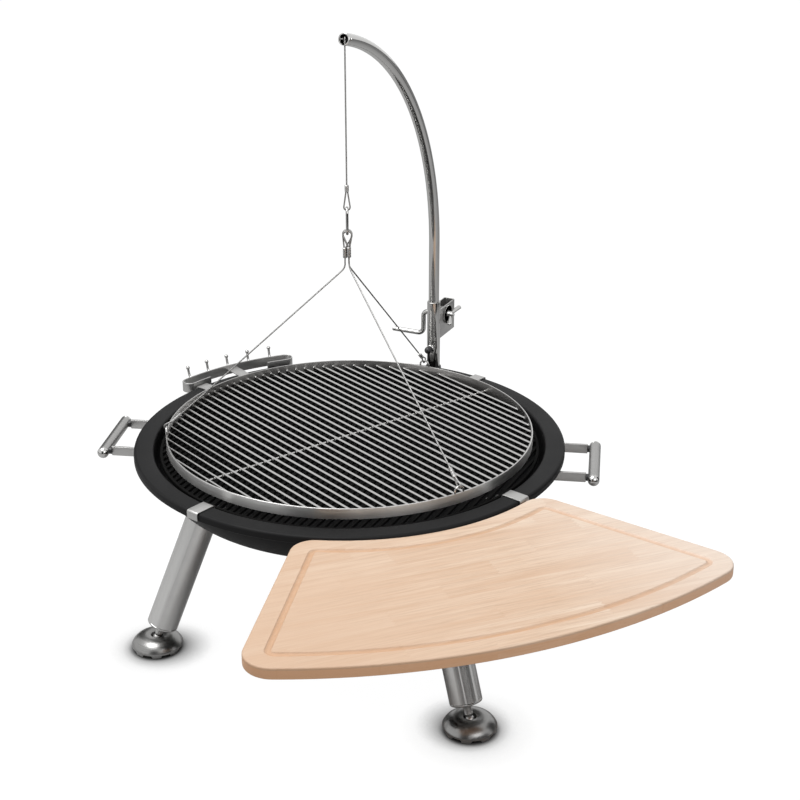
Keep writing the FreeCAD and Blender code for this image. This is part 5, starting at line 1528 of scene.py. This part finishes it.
class GRILL_OT_side_board(bpy.types.Operator):
    """Makes the wooden board with its juice groove, and the bars, sockets and screws below it"""
    bl_idname = "grill.side_board"
    bl_label = "Side board"

    def outline(self, board, inset, outer_corner, inner_corner):
        """The board's plan, moved in by inset, as points that match from one inset to the next."""
        slope = board.slope
        lean = Vector((math.cos(slope), math.sin(slope)))
        normal = Vector((-math.sin(slope), math.cos(slope)))
        apex = board.apex + inset / math.sin(slope)
        outer = board.outer - inset
        inner = board.inner + inset
        axis = Vector((0, 0))
        centre = Vector((board.reach - board.outer, 0))

        def corner_centre(about, reach, corner):
            start = Vector((apex + corner / math.sin(slope), 0)) - about
            half = start.dot(lean)
            run = -half + math.sqrt(half ** 2 - start.length_squared + reach ** 2)
            return about + start + lean * run

        def arc(about, radius, first, last, steps):
            turns = [first + (last - first) * number / steps for number in range(steps + 1)]
            return [about + Vector((math.cos(turn), math.sin(turn))) * radius for turn in turns]

        far = corner_centre(centre, outer - outer_corner, outer_corner)
        near = corner_centre(axis, inner + inner_corner, inner_corner)
        far_turn = math.atan2(far.y - centre.y, far.x - centre.x)
        near_turn = math.atan2(near.y, near.x)
        upright = QUARTER + slope
        half = arc(centre, outer, 0, far_turn, 28)[:-1]
        half += arc(far, outer_corner, far_turn, upright, 12)
        side_start, side_end = far + normal * outer_corner, near + normal * inner_corner
        half += [side_start.lerp(side_end, number / 16) for number in range(1, 16)]
        half += arc(near, inner_corner, upright, near_turn + math.pi, 10)
        half += arc(axis, inner, near_turn, 0, 20)[1:]
        return half + [Vector((point.x, -point.y)) for point in half[-2:0:-1]]

    def top(self, board):
        low, high = heights("side_board")
        edge, deep = board.edge, board.groove_radius
        rows = []

        def row(inset, height, outer_corner, inner_corner):
            plan = self.outline(board, inset, outer_corner, inner_corner)
            rows.append(turned([Vector((point.x, point.y, height)) for point in plan], board.direction))

        turns = [QUARTER * number / 6 for number in range(7)]
        rounding = [(edge * (1 - math.sin(turn)), low + edge * (1 - math.cos(turn))) for turn in turns]
        rounding += [(edge * (1 - math.cos(turn)), high - edge * (1 - math.sin(turn))) for turn in turns]
        for inset, height in rounding:
            row(inset, height, board.outer_corner - inset, board.inner_corner - inset)
        above = deep - board.groove_depth
        half_wide = math.sqrt(deep ** 2 - above ** 2)
        for number in range(13):
            offset = half_wide * (number / 6 - 1)
            depth = math.sqrt(deep ** 2 - offset ** 2) - above
            corner = board.groove_corner - offset
            row(board.groove_inset + offset, high - depth, corner, corner)
        return shell(rows, caps=True)

    def execute(self, context):
        board = context.scene.grill_board
        put("board_top", self.top(board), "board", "staved_wood", "board_wood", "side_board")
        along = polar(1.0, board.direction)
        put_dressed("board_bars", "board_arms", along, 0.0006, "board", "satin_steel", "satin_stainless")
        put_dressed("board_sockets", "board_receivers", along, 0.0006, "stand", "powder_coat", "bowl_paint")
        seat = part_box("board_arms")[0].z
        low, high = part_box("board_screws")
        head, shank, wide, recess = seat - low.z, 0.002, 0.0045, 0.0012
        outline = [(0, -head + recess), (0.0018, -head + recess), (shank, -head), (wide - 0.001, -head),
                   (wide, -head + 0.001), (wide, 0), (shank, 0), (shank, high.z - seat - 0.002),
                   (0, high.z - seat)]
        screw = revolved(outline, ORIGIN, UP, 24)
        middle = (low + high) / 2
        put_grown("board_fixings", screw, copies_on_a_grid, "board", "satin_steel", "satin_stainless",
                  "board_screws", Long=0.14, Wide=0.22, Place=(middle.xy.length, 0.0, seat),
                  Turn=(0.0, 0.0, board.direction))
        return {"FINISHED"}


class GRILL_OT_utensil_rail(bpy.types.Operator):
    """Makes the utensil rail with its curled ends, the strap over the rim and its ball-tipped hooks"""
    bl_idname = "grill.utensil_rail"
    bl_label = "Utensil rail"

    def band_path(self, board, back, front, middle):
        half, inturn = board.rail_half, math.radians(6)
        bend, bend_middle = (back - front) / 2, (back + front) / 2
        path = [polar(front, -half + inturn * (1 - share / 6), middle) for share in range(6)]
        for side in (-1, 1):
            centre = polar(bend_middle, side * half, middle)
            curl = []
            for number in range(15):
                turn = math.pi * number / 14
                inward = polar(1.0, side * half) * -math.cos(turn) * bend
                sideways = polar(1.0, side * (half + QUARTER)) * math.sin(turn) * bend
                curl.append(centre + inward + sideways)
            path += curl if side < 0 else curl[::-1]
            if side < 0:
                path += [polar(back, -half + 2 * half * share / 24, middle) for share in range(1, 24)]
        path += [polar(front, half - inturn * share / 6, middle) for share in range(1, 7)]
        return turned(path, board.rail_direction)

    def hook(self, root):
        knee, tip = root + Vector((0.015, 0, 0.006)), root + Vector((0.019, 0, 0.023))
        start = root + (knee - root).normalized() * 0.0012
        wire = swept(bent([start, knee, tip], 0.008), circle(0.0025, 20), ALONG_Y)
        ball = revolved(profile_arc((0, 0), 0.004, 0, 180, 14), tip, UP, 24)
        bead_outline = [(0, -0.0002), (0.0036, 0.0), (0.0033, 0.0009), (0.0026, 0.0014), (0, 0.0014)]
        bead = revolved(bead_outline, root + ALONG_X * 0.0013, ALONG_X, 20)
        return sharpened(joined([wire, ball, bead]), 40)

    def execute(self, context):
        board = context.scene.grill_board
        bowl = context.scene.grill_bowl
        low, high = heights("rail_band")
        back, front, thick = 0.436, 0.408, 0.003
        path = self.band_path(board, back, front, (low + high) / 2)
        band = swept(path, strip(high - low, thick, 0.0009), UP, 0.0008)
        put("rail_strip", band, "rail", "satin_steel", "satin_stainless", "rail_band")
        top = bowl.rim_height + 0.001
        inside = bowl.rim_radius - bowl.flange - 0.0014
        outside = math.sqrt((back - thick / 2) ** 2 - 0.012 ** 2) - 0.00005
        corners = turned([Vector((outside, 0, top)), Vector((inside, 0, top)),
                          Vector((inside, 0, bowl.rim_height - 0.016))], board.rail_direction)
        tangent = polar(1.0, board.rail_direction + QUARTER)
        hanger = swept(bent(corners, 0.003, 6), strip(0.024, 0.002, 0.0005), tangent, 0.0004)
        put("rail_hanger", hanger, "rail", "satin_steel", "satin_stainless", "rail_strap")
        hook = self.hook(Vector((back, 0, low + 0.009)))
        first = board.rail_direction - board.rail_step * (board.rail_hooks - 1) / 2
        put_grown("rail_pegs", hook, copies_round_the_bowl, "rail", "spun_steel", "polished_stainless",
                  "rail_hooks", Count=board.rail_hooks, First=first, Step=board.rail_step)
        return {"FINISHED"}


# Studio


class GRILL_OT_stage(bpy.types.Operator):
    """Makes the pale floor, the soft lights, the white surroundings and the camera"""
    bl_idname = "grill.stage"
    bl_label = "Studio"

    def sheet(self, name, corners, shader, tree, material):
        """A flat sheet of the studio with a finish of its own."""
        add(tree, "ShaderNodeOutputMaterial", {"Surface": shader}, None)
        mesh = bpy.data.meshes.new(name)
        mesh.from_pydata(corners, [], [(0, 1, 2, 3)])
        mesh.materials.append(material)
        piece = new_piece(name, mesh)
        return piece

    def floor(self, stage):
        material, tree = new_material("studio_floor")
        path = add(tree, "ShaderNodeLightPath", (), None).outputs
        tint = finishes().floor
        matte = add(tree, "ShaderNodeBsdfDiffuse",
                    {"Color": blended(tree, path["Is Diffuse Ray"], shade(tint, 1.2), shade(tint))})
        near = add(tree, "ShaderNodeAmbientOcclusion", {"Distance": stage.shadow_reach}, "AO", samples=16)
        dark = math_node(tree, "POWER", near, stage.shadow_depth)
        white = add(tree, "ShaderNodeEmission", {"Strength": product(tree, dark, stage.floor_glow)})
        share = product(tree, path["Is Camera Ray"], stage.floor_white)
        mix = add(tree, "ShaderNodeMixShader", (share, matte, white))
        half = stage.floor_size / 2
        corners = [(-half, -half, 0), (half, -half, 0), (half, half, 0), (-half, half, 0)]
        self.sheet("studio_floor", corners, mix, tree, material)

    def card(self, name, centre, towards, wide, tall, value):
        """A dark card that only polished metal sees."""
        middle = Vector(centre)
        heading = (Vector(towards) - middle).normalized()
        side = UP.cross(heading).normalized() * wide / 2
        rise = heading.cross(side).normalized() * tall / 2
        material, tree = new_material(name)
        glow = add(tree, "ShaderNodeEmission", {"Color": (value, value, value, 1.0)})
        corners = [middle - side - rise, middle + side - rise, middle + side + rise, middle - side + rise]
        piece = self.sheet(name, corners, glow, tree, material)
        piece.visible_camera = False
        piece.visible_diffuse = False
        piece.visible_shadow = False
        piece.visible_transmission = False

    def light(self, name, place, towards, size, power):
        lamp = bpy.data.lights.new(name, "AREA")
        lamp.shape = "DISK"
        lamp.size = size
        lamp.energy = power
        piece = new_piece(name, lamp)
        piece.location = place
        piece.rotation_euler = (Vector(towards) - Vector(place)).to_track_quat("-Z", "Y").to_euler()
        piece.visible_camera = False

    def surroundings(self, stage):
        world = bpy.data.worlds.new("studio")
        world.use_nodes = True
        tree = world.node_tree
        tree.nodes.clear()
        path = add(tree, "ShaderNodeLightPath", (), None).outputs
        seen = math_node(tree, "MAXIMUM", path["Is Camera Ray"], path["Is Glossy Ray"])
        seen = math_node(tree, "MAXIMUM", seen, path["Is Transmission Ray"])
        strength = spread(tree, seen, 0.0, 1.0, stage.sky, 1.0)
        back = add(tree, "ShaderNodeBackground", {"Color": (1.0, 1.0, 1.0, 1.0), "Strength": strength})
        add(tree, "ShaderNodeOutputWorld", {"Surface": back}, None)
        bpy.context.scene.world = world

    def execute(self, context):
        scene = context.scene
        stage = scene.grill_stage
        self.floor(stage)
        self.surroundings(stage)
        middle = (0.1, 0.0, 0.4)
        self.light("key_light", (-0.9, -0.6, 3.3), middle, 2.4, stage.key)
        self.light("fill_light", (2.6, -1.6, 2.2), middle, 2.0, stage.fill)
        self.card("card_right", (2.05, 1.8, 1.2), (0, 0.2, 1.2), 1.8, 2.4, 0.04)
        self.card("card_front", (0.38, -2.47, 1.2), (0, 0.2, 1.2), 1.6, 2.4, 0.04)
        self.card("card_low", (2.2, -0.94, 0.55), (0, 0.2, 0.55), 3.0, 1.1, 0.03)
        self.card("card_back_left", (-2.4, 1.5, 1.2), (0, 0.2, 1.2), 1.4, 2.4, 0.06)
        scene.view_settings.view_transform = "Standard"
        lens = bpy.data.cameras.new("photo_camera")
        lens.lens = stage.lens
        lens.sensor_width = 36.0
        camera = new_piece("photo_camera", lens)
        camera.location = (stage.camera_x, stage.camera_y, stage.camera_z)
        camera.rotation_euler = (QUARTER - stage.dip, 0.0, stage.heading)
        scene.camera = camera
        return {"FINISHED"}


SETTINGS = {
    "grill_bowl": BowlSizes,
    "grill_stand": StandSizes,
    "grill_arm": ArmSizes,
    "grill_grate": GrateSizes,
    "grill_board": BoardSizes,
    "grill_finishes": Finishes,
    "grill_stage": StageSizes,
}

OPERATORS = (
    GRILL_OT_fire_bowl,
    GRILL_OT_legs,
    GRILL_OT_feet,
    GRILL_OT_handles,
    GRILL_OT_charcoal_grate,
    GRILL_OT_post,
    GRILL_OT_arm,
    GRILL_OT_winch,
    GRILL_OT_cables,
    GRILL_OT_hanging_grate,
    GRILL_OT_slings,
    GRILL_OT_snap_hook,
    GRILL_OT_side_board,
    GRILL_OT_utensil_rail,
    GRILL_OT_stage,
)


class GRILL_PT_panel(bpy.types.Panel):
    """Lists the grill's pieces and their sizes"""
    bl_idname = "GRILL_PT_panel"
    bl_label = "Swivel grill"
    bl_space_type = "VIEW_3D"
    bl_region_type = "UI"
    bl_category = "Grill"

    def draw(self, context):
        layout = self.layout
        for operator in OPERATORS:
            layout.operator(operator.bl_idname)
        for setting in SETTINGS:
            box = layout.box()
            group = getattr(context.scene, setting)
            for label in group.__annotations__:
                box.prop(group, label)


def register():
    for setting, kind in SETTINGS.items():
        bpy.utils.register_class(kind)
        setattr(bpy.types.Scene, setting, PointerProperty(type=kind))
    for operator in OPERATORS:
        bpy.utils.register_class(operator)
    bpy.utils.register_class(GRILL_PT_panel)


def unregister():
    bpy.utils.unregister_class(GRILL_PT_panel)
    for operator in reversed(OPERATORS):
        bpy.utils.unregister_class(operator)
    for setting, kind in SETTINGS.items():
        delattr(bpy.types.Scene, setting)
        bpy.utils.unregister_class(kind)


def main():
    register()
    bpy.ops.grill.stage()
    bpy.ops.grill.cables()
    bpy.ops.grill.slings()
    bpy.ops.grill.snap_hook()
    bpy.ops.grill.fire_bowl()
    bpy.ops.grill.legs()
    bpy.ops.grill.feet()
    bpy.ops.grill.handles()
    bpy.ops.grill.charcoal_grate()
    bpy.ops.grill.post()
    bpy.ops.grill.arm()
    bpy.ops.grill.winch()
    bpy.ops.grill.hanging_grate()
    bpy.ops.grill.side_board()
    bpy.ops.grill.utensil_rail()


if __name__ == "__main__":
    main()
